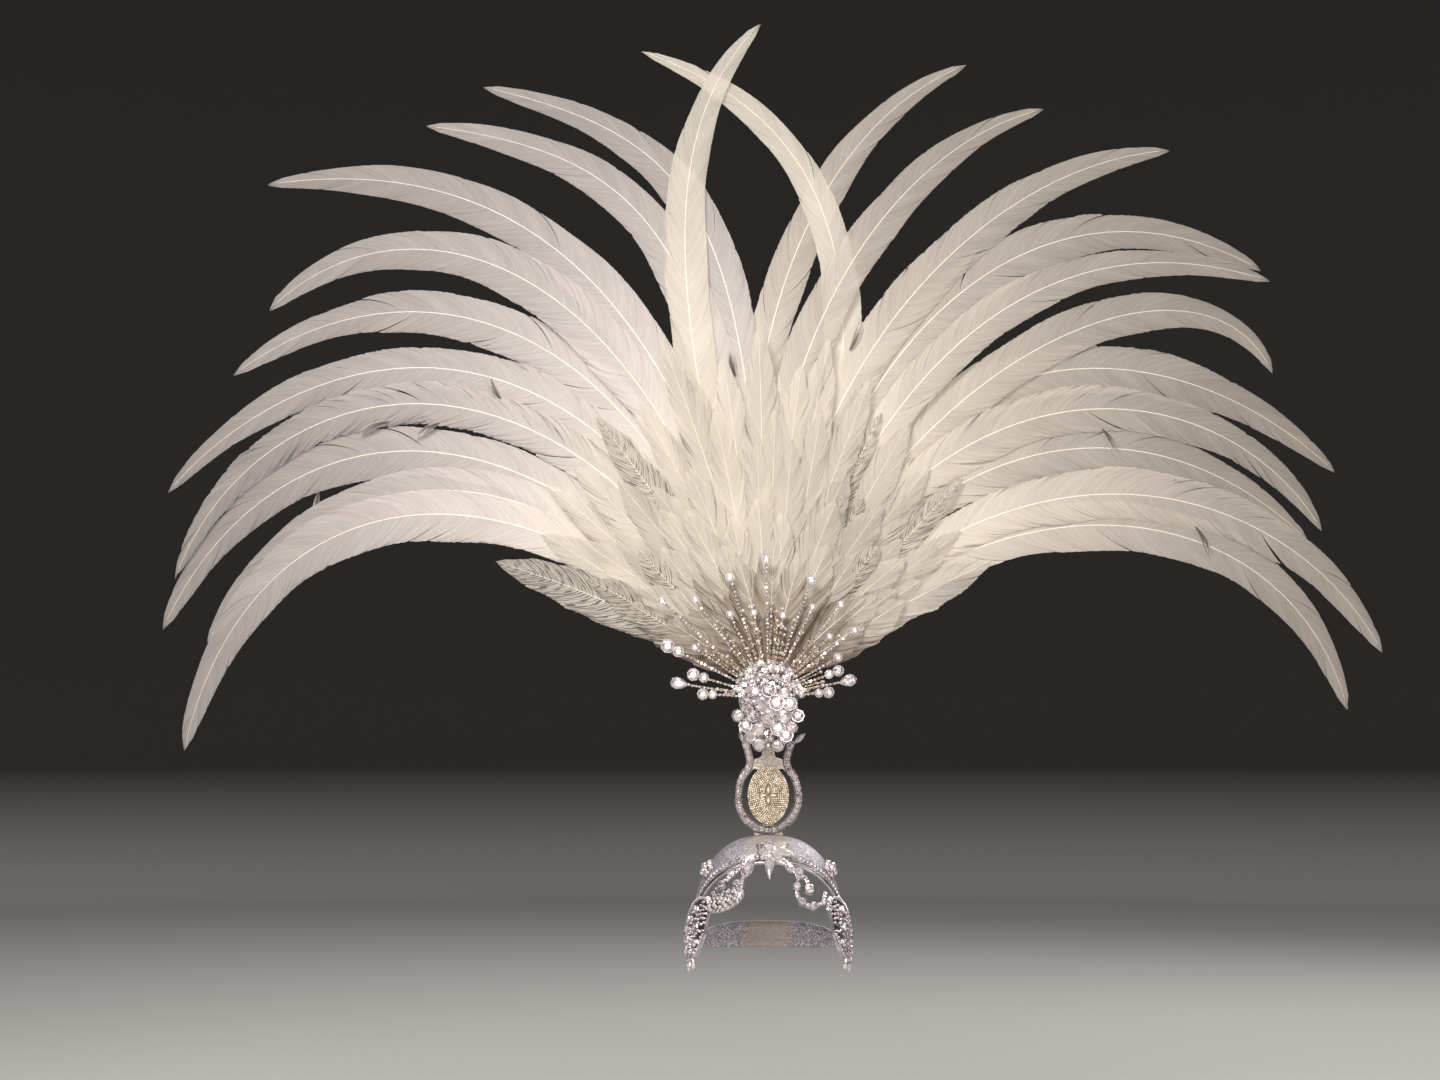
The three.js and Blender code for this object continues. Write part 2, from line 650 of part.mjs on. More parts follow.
// Flower over the bands, on a short post. Its face leans forward of the crown's surface.
function addBrowFlower() {
  const base = ARCH_THICK + GAP + WING_BAR_THICK + GAP;
  const middle = crownSpot({ across: 0, down: FLOWER_DOWN });
  const plate = disc(FLOWER_PLATE_RADIUS, FLOWER_PLATE_THICK);
  const postLength = base - BAND_THICK - GAP;
  const post = disc(FLOWER_POST_RADIUS, postLength + SINK).translate(0, 0, -postLength);
  const petals = FLOWER_PETALS.map(({ turn, reach }) => {
    const petal = cutStone({
      length: reach,
      width: FLOWER_PETAL_WIDTH,
      rise: FLOWER_PETAL_RISE,
      pinch: 0.45,
    });
    petal.translate(reach / 2, 0, FLOWER_PLATE_THICK - SINK);
    return petal.rotateZ(radians(turn));
  });
  const heart = cutStone({ length: FLOWER_HEART_WIDTH, width: FLOWER_HEART_WIDTH, rise: FLOWER_HEART_RISE });
  heart.translate(0, 0, FLOWER_PLATE_THICK - SINK);
  const face = fuse([plate, ...petals, heart]).rotateX(-radians(FLOWER_FACE_TURN));
  const flower = fuse([face, post]);
  addPiece('brow_flower', setOnCrown(flower, middle.side, middle.tilt, base), CRYSTAL_MATERIAL);
}

function addSideRosette(name, hand) {
  const radius = SIDE_ROSETTE_RADIUS;
  const shares = SIDE_ROSETTE_SHARES;
  const plate = disc(radius * shares.plate, SIDE_ROSETTE_THICK);
  const petals = Array.from({ length: SIDE_ROSETTE_PETALS }, (_, index) => {
    const petal = cutStone({
      length: radius * shares.petalLength,
      width: radius * shares.petalWidth,
      rise: STONE_RISE,
      pinch: 0.2,
    });
    petal.translate(radius * shares.petalPlace, 0, SIDE_ROSETTE_THICK - SINK);
    return petal.rotateZ(Math.PI / 2 + 2 * Math.PI * index / SIDE_ROSETTE_PETALS);
  });
  const heartWidth = radius * shares.heart;
  const heart = cutStone({ length: heartWidth, width: heartWidth, rise: SIDE_ROSETTE_HEART_RISE });
  heart.translate(0, 0, SIDE_ROSETTE_THICK - SINK);
  const rosette = fuse([plate, ...petals, heart]);
  const side = radians(hand > 0 ? SIDE_ROSETTE_SIDE : 180 - SIDE_ROSETTE_SIDE);
  addPiece(name, setOnCrown(rosette, side, radians(SIDE_ROSETTE_TILT), BAND_THICK + GAP), CRYSTAL_MATERIAL);
}

function ovalPoint(turn, halfWidth, halfHeight) {
  return new THREE.Vector2(
    halfWidth * Math.cos(turn),
    RING_CENTRE_HEIGHT + halfHeight * Math.sin(turn),
  );
}

// Neck, shoulders, oval ring, the strap behind the medallion and the foot on the crown.
function addStemPlate() {
  const neckTop = HUB_HEIGHT - HOLDER_RADIUS - HOLDER_FOOT - GAP;
  const outerWidth = RING_HALF_WIDTH + LYRE_BAR / 2;
  const outerHeight = RING_HALF_HEIGHT + LYRE_BAR / 2;
  const innerWidth = RING_HALF_WIDTH - LYRE_BAR / 2;
  const innerHeight = RING_HALF_HEIGHT - LYRE_BAR / 2;
  const ring = new THREE.Shape();
  ring.absellipse(0, RING_CENTRE_HEIGHT, outerWidth, outerHeight, 0, 2 * Math.PI, false, 0);
  const eye = new THREE.Path();
  eye.absellipse(0, RING_CENTRE_HEIGHT, innerWidth, innerHeight, 0, 2 * Math.PI, true, 0);
  ring.holes.push(eye);
  const shoulder = ovalPoint(radians(SHOULDER_TURN), RING_HALF_WIDTH, RING_HALF_HEIGHT);
  const ringTop = RING_CENTRE_HEIGHT + innerHeight;
  const neck = new THREE.Shape();
  neck.moveTo(-NECK_WIDTH / 2, neckTop);
  neck.lineTo(-NECK_WIDTH / 2, ringTop + NECK_WIDTH);
  neck.quadraticCurveTo(-NECK_WIDTH / 2, ringTop + LYRE_BAR / 2, -shoulder.x, shoulder.y);
  neck.lineTo(-shoulder.x + LYRE_BAR / 2, shoulder.y - LYRE_BAR / 2);
  neck.lineTo(shoulder.x - LYRE_BAR / 2, shoulder.y - LYRE_BAR / 2);
  neck.lineTo(shoulder.x, shoulder.y);
  neck.quadraticCurveTo(NECK_WIDTH / 2, ringTop + LYRE_BAR / 2, NECK_WIDTH / 2, ringTop + NECK_WIDTH);
  neck.lineTo(NECK_WIDTH / 2, neckTop);
  const footTop = BAND_THICK + GAP + FOOT_THICK;
  const strap = new THREE.Shape();
  strap.moveTo(-STRAP_WIDTH / 2, footTop - SINK);
  strap.lineTo(STRAP_WIDTH / 2, footTop - SINK);
  strap.lineTo(STRAP_WIDTH / 2, ringTop + SINK);
  strap.lineTo(-STRAP_WIDTH / 2, ringTop + SINK);
  const foot = new THREE.BoxGeometry(FOOT_WIDTH, FOOT_DEPTH, FOOT_THICK);
  foot.translate(0, FOOT_DEPTH / 2, footTop - FOOT_THICK / 2);
  addPiece('stem_plate', fuse([
    frontPlate(ring, PLATE_THICK, PLATE_THICK, 16),
    frontPlate(neck, PLATE_THICK, PLATE_THICK, 5),
    frontPlate(strap, PLATE_THICK, PLATE_THICK),
    foot,
  ]), SILVER_MATERIAL);
}

// Stone-set bar round the medallion, open at the top where its two arms rise to the rosette.
function addLyre() {
  const arm = (hand) => {
    const line = [];
    for (let turn = LYRE_LOW_TURN; turn <= LYRE_HIGH_TURN; turn += LYRE_TURN_STEP) {
      const { x, y } = ovalPoint(radians(turn), RING_HALF_WIDTH, RING_HALF_HEIGHT);
      line.push(new THREE.Vector3(hand * x, -GAP, y));
    }
    line.push(new THREE.Vector3(hand * LYRE_WAIST_HALF_WIDTH, -GAP, RING_CENTRE_HEIGHT + RING_HALF_HEIGHT));
    line.push(new THREE.Vector3(hand * LYRE_TOP_HALF_WIDTH, -GAP, LYRE_TOP_HEIGHT));
    const outs = line.map(() => new THREE.Vector3(0, -1, 0));
    return sweepBar(line, outs, LYRE_BAR, LYRE_THICK);
  };
  addPiece('lyre_frame', fuse([arm(-1), arm(1)]), SILVER_MATERIAL);
}

function addLeafTip(name, hand, turn) {
  const leaf = cutStone({ length: LEAF_LENGTH, width: LEAF_WIDTH, rise: LYRE_THICK, pinch: 0.5 });
  leaf.translate(LEAF_LENGTH / 2, 0, 0);
  leaf.rotateZ(radians(turn));
  leaf.rotateX(Math.PI / 2);
  leaf.translate(hand * (LYRE_TOP_HALF_WIDTH + LYRE_BAR / 4), -GAP, LYRE_TOP_HEIGHT + GAP);
  addPiece(name, leaf, SILVER_MATERIAL);
}

function addMedallion() {
  const shape = new THREE.Shape();
  const steps = MEDALLION_SCALLOPS * MEDALLION_STEPS;
  for (let step = 0; step < steps; step += 1) {
    const turn = 2 * Math.PI * step / steps;
    const wave = MEDALLION_SCALLOP_DEPTH * (1 - Math.abs(Math.sin(turn * MEDALLION_SCALLOPS / 2)));
    const { x, y } = ovalPoint(turn, MEDALLION_HALF_WIDTH - wave, MEDALLION_HALF_HEIGHT - wave);
    if (step === 0) {
      shape.moveTo(x, y);
    } else {
      shape.lineTo(x, y);
    }
  }
  const hole = new THREE.Path();
  hole.absarc(0, RING_CENTRE_HEIGHT, MEDALLION_HOLE_RADIUS, 0, 2 * Math.PI, true);
  shape.holes.push(hole);
  const plate = frontPlate(shape, MEDALLION_THICK, -GAP, 4);
  const petals = Array.from({ length: MEDALLION_PETALS }, (_, index) => {
    const petal = cutStone({
      length: MEDALLION_PETAL_LENGTH,
      width: MEDALLION_PETAL_WIDTH,
      rise: MEDALLION_PETAL_RISE,
      pinch: 0.4,
    });
    petal.translate(MEDALLION_HOLE_RADIUS + SINK + MEDALLION_PETAL_LENGTH / 2, 0, 0);
    petal.rotateZ(2 * Math.PI * index / MEDALLION_PETALS);
    petal.rotateX(Math.PI / 2);
    return petal.translate(0, -GAP - MEDALLION_THICK + SINK, RING_CENTRE_HEIGHT);
  });
  addPiece('medallion', fuse([plate, ...petals]), BEAD_MATERIAL);
}

// Drum whose rim the quills meet, and its foot on the neck.
function addFeatherHolder() {
  const depth = LAYER_STEP * FEATHER_LAYERS;
  const drum = new THREE.CylinderGeometry(HOLDER_RADIUS, HOLDER_RADIUS, depth, HOLDER_SIDES);
  drum.translate(0, depth / 2, 0);
  drum.translate(0, 0, HUB_HEIGHT);
  const foot = new THREE.BoxGeometry(NECK_WIDTH, PLATE_THICK * 2, HOLDER_FOOT * 2);
  foot.translate(0, PLATE_THICK, HUB_HEIGHT - HOLDER_RADIUS);
  addPiece('feather_holder', fuse([drum, foot]), SILVER_MATERIAL);
}

// Depth that the whole fan leans back at a point.
function lean(point) {
  const reach = Math.hypot(point.x, point.z - HUB_HEIGHT) / FAN_HEIGHT;
  return FAN_LEAN * reach * reach;
}

function direction(degrees) {
  return new THREE.Vector3(Math.cos(radians(degrees)), 0, Math.sin(radians(degrees)));
}

// Middle line of a feather, from where its quill starts to its tip.
function quillLine({ start, tip, root, heading, lead, hook }) {
  const span = tip.distanceTo(HUB);
  return new THREE.CubicBezierCurve3(
    HUB.clone().addScaledVector(direction(root), start),
    HUB.clone().addScaledVector(direction(root), lead * span),
    tip.clone().addScaledVector(direction(heading), -hook * span),
    tip,
  );
}

// Vane on a middle line: section lists half width and half thickness shares round the section.
function vane(line, outline, section, halfWidth, depth, thickness) {
  return loft(outline.map(({ along, half }) => {
    const spine = line.getPointAt(along);
    const heading = line.getTangentAt(along);
    const across = new THREE.Vector3(-heading.z, 0, heading.x);
    return section(thickness(along)).map(([side, out]) => {
      const point = spine.clone().addScaledVector(across, side * half * halfWidth);
      point.y = lean(point) + depth + out;
      return point;
    });
  }));
}

function longSection(thick) {
  const edge = VANE_EDGE_THICK / 2;
  return [[-1, -edge], [0, -thick / 2], [1, -edge], [1, edge], [0, thick / 2], [-1, edge]];
}

function shortSection(thick) {
  return [[-1, 0], [0, -thick / 2], [1, 0], [0, thick / 2]];
}

function addLongFeathers() {
  LONG_FEATHERS.forEach((row, index) => {
    const tip = new THREE.Vector3(row.across * FAN_HALF_WIDTH, 0, HUB_HEIGHT + row.up * FAN_HEIGHT);
    const line = quillLine({ ...row, start: HOLDER_RADIUS + GAP, tip });
    const depth = LAYER_STEP * (row.layer + 0.5);
    const thickness = (along) => THREE.MathUtils.lerp(QUILL_THICK, FEATHER_TIP_THICK, Math.sqrt(along));
    const feather = vane(line, FEATHER_OUTLINE, longSection, row.broad * FEATHER_WIDTH / 2, depth, thickness);
    addPiece(`long_feather_${String(index + 1).padStart(2, '0')}`, feather, FEATHER_MATERIAL);
  });
}

// Head of a plume: a sector plate in front of the holder, from which its feathers spread.
function plumeHead(from, to, head, depth) {
  const [low, high] = [Math.min(from, to) - head, Math.max(from, to) + head].map(radians);
  const sector = new THREE.Shape();
  sector.absarc(0, HUB_HEIGHT, HOLDER_RADIUS, low, high, false);
  sector.absarc(0, HUB_HEIGHT, PLUME_HEAD_INNER_RADIUS, high, low, true);
  return frontPlate(sector, PLUME_BAND, depth + PLUME_BAND / 2, 6);
}

function addPlumes() {
  for (const { name, band, count, from, to, head, reachFrom, reachTo, bend, spread } of PLUMES) {
    const depth = -GAP - PLUME_BAND / 2 - band * (PLUME_BAND + GAP);
    const feathers = Array.from({ length: count }, (_, index) => {
      const share = index / (count - 1);
      const root = THREE.MathUtils.lerp(from, to, share);
      const turned = bend + (root - 90) * spread;
      const rear = index % 2 === 0;
      const reach = FAN_HEIGHT * THREE.MathUtils.lerp(reachFrom, reachTo, share) * (rear ? 1 : PLUME_STAGGER);
      const line = quillLine({
        start: HOLDER_RADIUS - HOLDER_FOOT / 2,
        tip: HUB.clone().addScaledVector(direction(root + turned / 2), reach),
        root,
        heading: root + turned,
        lead: PLUME_LEAD,
        hook: PLUME_HOOK,
      });
      const sheet = (rear ? 1 : -1) * PLUME_BAND / 4;
      return vane(line, PLUME_OUTLINE, shortSection, PLUME_FEATHER_WIDTH / 2, depth + sheet,
        () => PLUME_FEATHER_THICK);
    });
    addPiece(name, fuse([plumeHead(from, to, head, depth), ...feathers]), FEATHER_MATERIAL);
  }
}

function rosetteBack() {
  const bands = 1 + Math.max(...PLUMES.map(({ band }) => band));
  return -bands * (PLUME_BAND + GAP) - GAP;
}

function addRosette() {
  const back = rosetteBack();
  const plate = new THREE.CylinderGeometry(
    ROSETTE_PLATE_HALF_WIDTH, ROSETTE_PLATE_HALF_WIDTH, ROSETTE_PLATE_THICK, 24);
  plate.scale(1, 1, ROSETTE_PLATE_HALF_HEIGHT / ROSETTE_PLATE_HALF_WIDTH);
  const base = ROSETTE_PLATE_THICK / 2 - SINK;
  const stones = ROSETTE_STONES.map(({ across, up, size }) => {
    const width = 2 * size * ROSETTE_HALF_SIZE;
    const gem = cutStone({ length: width, width, rise: ROSETTE_STONE_RISE + size * ROSETTE_HALF_SIZE });
    gem.rotateX(Math.PI / 2);
    return gem.translate(across * ROSETTE_HALF_SIZE, base, up * ROSETTE_HALF_SIZE);
  });
  const rosette = fuse([plate, ...stones]);
  rosette.translate(0, back - ROSETTE_PLATE_THICK / 2, HUB_HEIGHT - ROSETTE_DROP);
  addPiece('crystal_rosette', rosette, CRYSTAL_MATERIAL);
}

function addSprays() {
  const back = rosetteBack();
  const middle = back - ROSETTE_PLATE_THICK / 2;
  const inner = SPRAY_BAR_RADIUS - SPRAY_BAR_WIDTH / 2;
  const tube = Array.from({ length: SPRAY_WIRE_SIDES }, (_, side) => radians(360 * side / SPRAY_WIRE_SIDES));
  for (const { name, from, to, wires } of SPRAY_ROWS) {
    const arc = new THREE.Shape();
    arc.absarc(0, HUB_HEIGHT, inner + SPRAY_BAR_WIDTH, radians(from), radians(to), false);
    arc.absarc(0, HUB_HEIGHT, inner, radians(to), radians(from), true);
    const bar = frontPlate(arc, ROSETTE_PLATE_THICK, back, 6);
    const strands = wires.flatMap(({ turn, reach, size, drop }) => {
      const start = SPRAY_BAR_RADIUS;
      const end = reach * SPRAY_REACH;
      const wire = loft([0, 1].map((share) => {
        const spine = HUB.clone().addScaledVector(direction(turn), THREE.MathUtils.lerp(start, end, share));
        spine.y = middle - SPRAY_FORWARD * share * reach;
        const across = direction(turn + 90);
        return tube.map((side) => spine.clone()
          .addScaledVector(across, SPRAY_WIRE_RADIUS * Math.cos(side))
          .add(new THREE.Vector3(0, SPRAY_WIRE_RADIUS * Math.sin(side), 0)));
      }));
      const width = size * SPRAY_STONE_WIDTH;
      const gem = cutStone({
        length: drop ? 1.5 * width : width,
        width,
        rise: SPRAY_STONE_RISE,
        pinch: drop ? 0.5 : 0,
        drop,
      });
      gem.rotateZ(radians(turn));
      gem.rotateX(Math.PI / 2);
      gem.translate(0, SPRAY_STONE_RISE / 2, 0);
      const tip = HUB.clone().addScaledVector(direction(turn), end);
      gem.translate(tip.x, middle - SPRAY_FORWARD * reach, tip.z);
      return [wire, gem];
    });
    addPiece(name, fuse([bar, ...strands]), CRYSTAL_MATERIAL);
  }
}

addCrownBands();
addEarFlap('ear_flap_left', -1);
addEarFlap('ear_flap_right', 1);
addBrowWing('brow_wing_left', LEFT_WING_BARS, LEFT_WING_STONES);
addBrowWing('brow_wing_right', RIGHT_WING_BARS, RIGHT_WING_STONES);
addBrowFlower();
addSideRosette('side_rosette_left', -1);
addSideRosette('side_rosette_right', 1);
addStemPlate();
addLyre();
addLeafTip('leaf_tip_left', -1, LEFT_LEAF_LEAN);
addLeafTip('leaf_tip_right', 1, RIGHT_LEAF_LEAN);
addMedallion();
addFeatherHolder();
addRosette();
addSprays();
addLongFeathers();
addPlumes();

export default headdress;
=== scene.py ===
# Looks of the feathered headdress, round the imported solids.
# Sizes are in millimetres and are turned into metres where a piece is made.

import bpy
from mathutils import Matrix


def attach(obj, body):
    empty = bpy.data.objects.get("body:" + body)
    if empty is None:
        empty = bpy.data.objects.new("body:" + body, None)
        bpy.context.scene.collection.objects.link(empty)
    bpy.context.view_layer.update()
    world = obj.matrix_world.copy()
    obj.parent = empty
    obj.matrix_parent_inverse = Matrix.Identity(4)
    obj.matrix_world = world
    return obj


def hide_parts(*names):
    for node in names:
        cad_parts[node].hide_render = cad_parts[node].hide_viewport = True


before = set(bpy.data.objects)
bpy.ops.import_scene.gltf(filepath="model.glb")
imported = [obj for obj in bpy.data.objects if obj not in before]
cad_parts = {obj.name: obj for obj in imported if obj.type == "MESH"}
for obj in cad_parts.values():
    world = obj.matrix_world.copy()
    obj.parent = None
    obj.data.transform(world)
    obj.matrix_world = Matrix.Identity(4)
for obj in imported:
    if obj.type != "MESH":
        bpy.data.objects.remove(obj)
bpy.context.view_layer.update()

import math

import bpy
import numpy as np
from mathutils import Vector

MM = 0.001
GAP = 0.3
SEED = 7

# Head and crown, as in the solids
HEAD_HALF_BREADTH = 84.5
HEAD_HALF_DEPTH = 98
CROWN_DEPTH = 125
CROWN_SQUARENESS = 2.45
BAND_THICK = 3
BAND_FRONT_TILT = 34.5
BAND_BACK_TILT = -23
BAND_END_SIDE = 8
ARCH_TILT = 38
ARCH_THICK = 4
ARCH_WIDTH = 5.4
REAR_BAND_TOP_TILT = -79
REAR_BAND_LOW_TILT = -93

# Jewels of the crown
WING_BAR_WIDTH = 6
WING_BAR_THICK = 2.6
FLOWER_DOWN = 0.155
FLOWER_FACE_TURN = 18
SIDE_ROSETTE_RADIUS = 10
SIDE_ROSETTE_SIDE = 44
SIDE_ROSETTE_TILT = 20
SIDE_ROSETTE_FACE_TURN = 24
FLAP_THICK = 2.6
FLAP_INNER_RISE = ARCH_THICK + GAP + 1
FLAP_DROP_LENGTH = 16
FLAP_DROP_WIDTH = 6
FLAP_EDGE_INSET = 0.016
LONG_STONE_RISE = 6
ROUND_STONE_RISE = 6.4
PAISLEY_FOOT = 1.2
PAISLEY_DOME = 4.6

# Small stones as (length, width, height), and the steps between them. The band's inset is in degrees.
BAND_STONE = (4.2, 4.2, 2.4)
BAND_STONE_STEP = 4.7
BAND_STONE_INSET = 1.6
WING_STONE = (3.9, 3.9, 2.6)
WING_STONE_STEP = 4.4
FLAP_EDGE_STONE = (3.6, 3.6, 2.4)
FLAP_EDGE_STEP = 4.1
FLAP_FILL_STONE = (3.3, 3.3, 2.2)
FLAP_FILL_TRIES = 900
FLAP_FILL_STEP = 3.9
FLAP_FILL_GAP = 2.2
FLAP_FILL_MARGIN = 0.05
LYRE_STONE = (5.6, 5.6, 3.2)
LYRE_STONE_STEP = 6.6
LYRE_STONE_RISE = 1.9
LYRE_TOP_STONE = (9, 9, 5)
LYRE_PIT = (1.9, 1.9, 1.2)
LYRE_PIT_RISE = 0.9
LYRE_PIT_SIDE = 2.1
SPRAY_STONE_STEP = 4.6
THIN_STONE_STEP = 11

# Stem, lyre and medallion
RING_CENTRE_HEIGHT = 48
RING_HALF_WIDTH = 34.5
RING_HALF_HEIGHT = 40
LYRE_BAR = 9
LYRE_FLOOR = 2.2
LYRE_RIM = 2.9
LYRE_RIM_WIDTH = 1.2
LYRE_LOW_TURN = -94
LYRE_HIGH_TURN = 46
LYRE_WAIST_HALF_WIDTH = 21
LYRE_TOP_HEIGHT = 106
LYRE_TOP_HALF_WIDTH = 25
LEAF_LENGTH = 19
LEAF_WIDTH = 7
LEFT_LEAF_LEAN = 108
RIGHT_LEAF_LEAN = 38
MEDALLION_HALF_WIDTH = 23.5
MEDALLION_HALF_HEIGHT = 33
MEDALLION_THICK = 3.5
BEAD_RADIUS = 1.2

# Feather holder, rosette and sprays
HUB_HEIGHT = 159
HOLDER_RADIUS = 34
ROSETTE_PLATE_HALF_WIDTH = 30
ROSETTE_PLATE_HALF_HEIGHT = 36
ROSETTE_PLATE_THICK = 3
ROSETTE_HALF_SIZE = 40
ROSETTE_DROP = 16
ROSETTE_STONE_RISE = 8
SPRAY_REACH = 162
SPRAY_BAR_WIDTH = 4
SPRAY_BAR_RADIUS = 31
SPRAY_FORWARD = 16
SPRAY_STONE_WIDTH = 13
SPRAY_WIRE = 1.5
THIN_SPRAY_WIRE = 1.1
THIN_WIRES = 22
LOW_WIRE_TURN = 58
LOW_WIRE_SHARE = 0.62
THIN_WIRE_END = 0.26
TWIN_FROM = 0.8

# Feathers
FAN_HALF_WIDTH = 712
FAN_HEIGHT = 792
FAN_LEAN = 42
LAYER_STEP = 3.6
FEATHER_WIDTH = 58
PLUME_BAND = 6.2
PLUME_BANDS = 4
PLUME_FEATHER_WIDTH = 50
PLUME_LEAD = 0.45
PLUME_HOOK = 0.3
PLUME_STAGGER = (1, 0.80, 0.92, 0.70)
LOCK_STRANDS = 5
STRAND_HALF_WIDTH = 1.5
WIDE_SPLIT_SHARE = 0.16
WIDE_SPLIT_TIMES = 5
RIB_HEIGHT = 0.11

ROSETTE_BACK = -PLUME_BANDS * (PLUME_BAND + GAP) - GAP
HUB = np.array([0.0, HUB_HEIGHT])

# Camera and studio
CAMERA_PLACE = (-0.055, -3.6, 0.15)
CAMERA_AIM_HEIGHT = 0.339
CAMERA_LENS = 78.8
FLOOR_HEIGHT = -0.45
STUDIO_RADIUS = 7.0

# Colours
BASE_COLOUR = (0.96, 0.90, 0.76)
# Painted shade at the feathers' feet, where they crowd round the holder.
FOOT_SHADE_COLOUR = (0.24, 0.16, 0.11)
BAR_COLOUR = (0.13, 0.10, 0.09)
PATCH_COLOUR = (0.50, 0.45, 0.40)
FLOOR_COLOUR = (0.58, 0.57, 0.55)
WALL_COLOUR = (0.055, 0.053, 0.051)

# Long feathers, left to right, with the same columns as in the solids, and rough for how ragged the edge is
LONG_COLUMNS = ("across", "up", "root", "heading", "lead", "hook", "broad", "layer", "rough")
LONG_FEATHERS = [
    (-0.943, -0.077, 134, 258, 0.66, 0.46, 1.00, 0, 1.0),
    (-0.908, 0.080, 130, 240, 0.66, 0.38, 0.90, 1, 0.8),
    (-0.982, 0.099, 126, 246, 0.68, 0.40, 0.96, 2, 1.0),
    (-0.961, 0.173, 117, 250, 0.74, 0.38, 0.85, 0, 2.2),
    (-0.976, 0.299, 112, 230, 0.74, 0.32, 0.88, 1, 1.2),
    (-0.872, 0.472, 108, 218, 0.74, 0.28, 0.95, 3, 1.0),
    (-0.812, 0.566, 104, 226, 0.76, 0.28, 1.00, 0, 0.8),
    (-0.820, 0.755, 101, 188, 0.66, 0.28, 0.95, 1, 0.6),
    (-0.560, 0.843, 96, 172, 0.70, 0.34, 0.90, 3, 0.8),
    (-0.467, 0.902, 92, 166, 0.72, 0.34, 0.85, 4, 0.8),
    (-0.010, 0.995, 103, 45, 0.45, 0.28, 0.85, 2, 0.6),
    (-0.207, 0.955, 72, 160, 0.60, 0.36, 0.72, 4, 0.6),
    (0.329, 0.936, 99, 22, 0.50, 0.26, 0.80, 5, 0.8),
    (0.453, 0.865, 94, 14, 0.50, 0.26, 0.85, 0, 0.8),
    (0.660, 0.805, 86, 4, 0.50, 0.26, 0.92, 1, 1.2),
    (0.808, 0.627, 80, -30, 0.60, 0.36, 1.00, 2, 1.2),
    (0.821, 0.610, 74, -18, 0.50, 0.38, 0.80, 0, 1.0),
    (0.825, 0.475, 70, -66, 0.60, 0.28, 0.92, 3, 1.0),
    (0.927, 0.330, 73, -44, 0.66, 0.38, 1.00, 5, 1.2),
    (0.900, 0.243, 66, -60, 0.68, 0.34, 0.92, 1, 1.4),
    (0.877, 0.229, 60, -44, 0.58, 0.38, 0.92, 2, 1.0),
    (0.996, 0.065, 51, -62, 0.60, 0.34, 1.00, 0, 1.2),
    (0.938, -0.018, 46, -76, 0.60, 0.38, 0.96, 1, 0.8),
]

# Locks that have come loose: feather, share of its length, side, length in millimetres, direction in degrees.
LOOSE_LOCKS = [
    (3, 0.70, 1, 50, 268), (4, 0.62, 1, 44, 200), (4, 0.55, 1, 38, 212), (4, 0.48, -1, 34, 120),
    (9, 0.40, -1, 34, 100), (15, 0.45, 1, 36, 70), (20, 0.62, -1, 34, 300), (22, 0.66, -1, 40, 296),
]

# Half width of a feather along its length, as shares: along, half.
FEATHER_OUTLINE = [
    (0, 0.075), (0.06, 0.08), (0.14, 0.34), (0.24, 0.70), (0.35, 0.90), (0.46, 1.00),
    (0.57, 1.00), (0.68, 0.94), (0.78, 0.80), (0.87, 0.60), (0.94, 0.40), (0.98, 0.22), (1, 0.01),
]
PLUME_OUTLINE = [(0, 0.12), (0.20, 0.34), (0.45, 0.90), (0.70, 1.00), (0.88, 0.62), (0.97, 0.24), (1, 0.01)]

# Shorter feathers: the node, its band, how many feathers, and the directions and reaches of the outer two.
# Their bend and spread are as in the solids. tint names their colour, and barred the feathers with dark bars.
PLUME_COLUMNS = ("name", "band", "count", "start", "end", "reach_start", "reach_end", "bend", "spread",
                 "tint", "barred")
PLUMES = [
    ("inner_plume_left", 0, 13, 101, 145, 0.52, 0.44, 12, 0, "cream", (4, 11, 12)),
    ("inner_plume_right", 0, 13, 79, 38, 0.50, 0.40, -10, 0, "pale", (2, 3, 8)),
    ("inner_plume_centre", 1, 11, 102, 76, 0.55, 0.55, 0, 0.5, "cream", ()),
    ("front_plume_left", 2, 13, 104, 142, 0.36, 0.25, 8, 0, "cream", (8, 12)),
    ("front_plume_right", 2, 13, 76, 40, 0.36, 0.25, -8, 0, "pale", (2, 6)),
    ("front_plume_centre", 3, 10, 108, 72, 0.30, 0.30, 0, 0.5, "cream", ()),
]

# Ear flap in the side view, as shares: along, top edge, low edge.
FLAP_OUTLINE = [
    (-0.24, 0.93, 1.04), (-0.10, 0.85, 1.09), (0.04, 0.76, 1.12), (0.20, 0.66, 1.12), (0.36, 0.57, 1.10),
    (0.50, 0.51, 1.08), (0.62, 0.50, 1.03), (0.70, 0.54, 0.95), (0.745, 0.62, 0.84),
]
# Stones on a flap: along, down, radius. Drops below it: along, down.
FLAP_STONES = [
    (0.10, 0.82, 4.6), (0.10, 0.91, 5.4), (0.12, 1.01, 5.4), (0.30, 0.72, 4.6),
    (0.34, 0.90, 5.0), (0.48, 0.63, 4.8), (0.54, 0.78, 5.0), (0.60, 0.92, 4.8),
]
FLAP_DROPS = [(0.30, 1.13), (0.52, 1.10)]

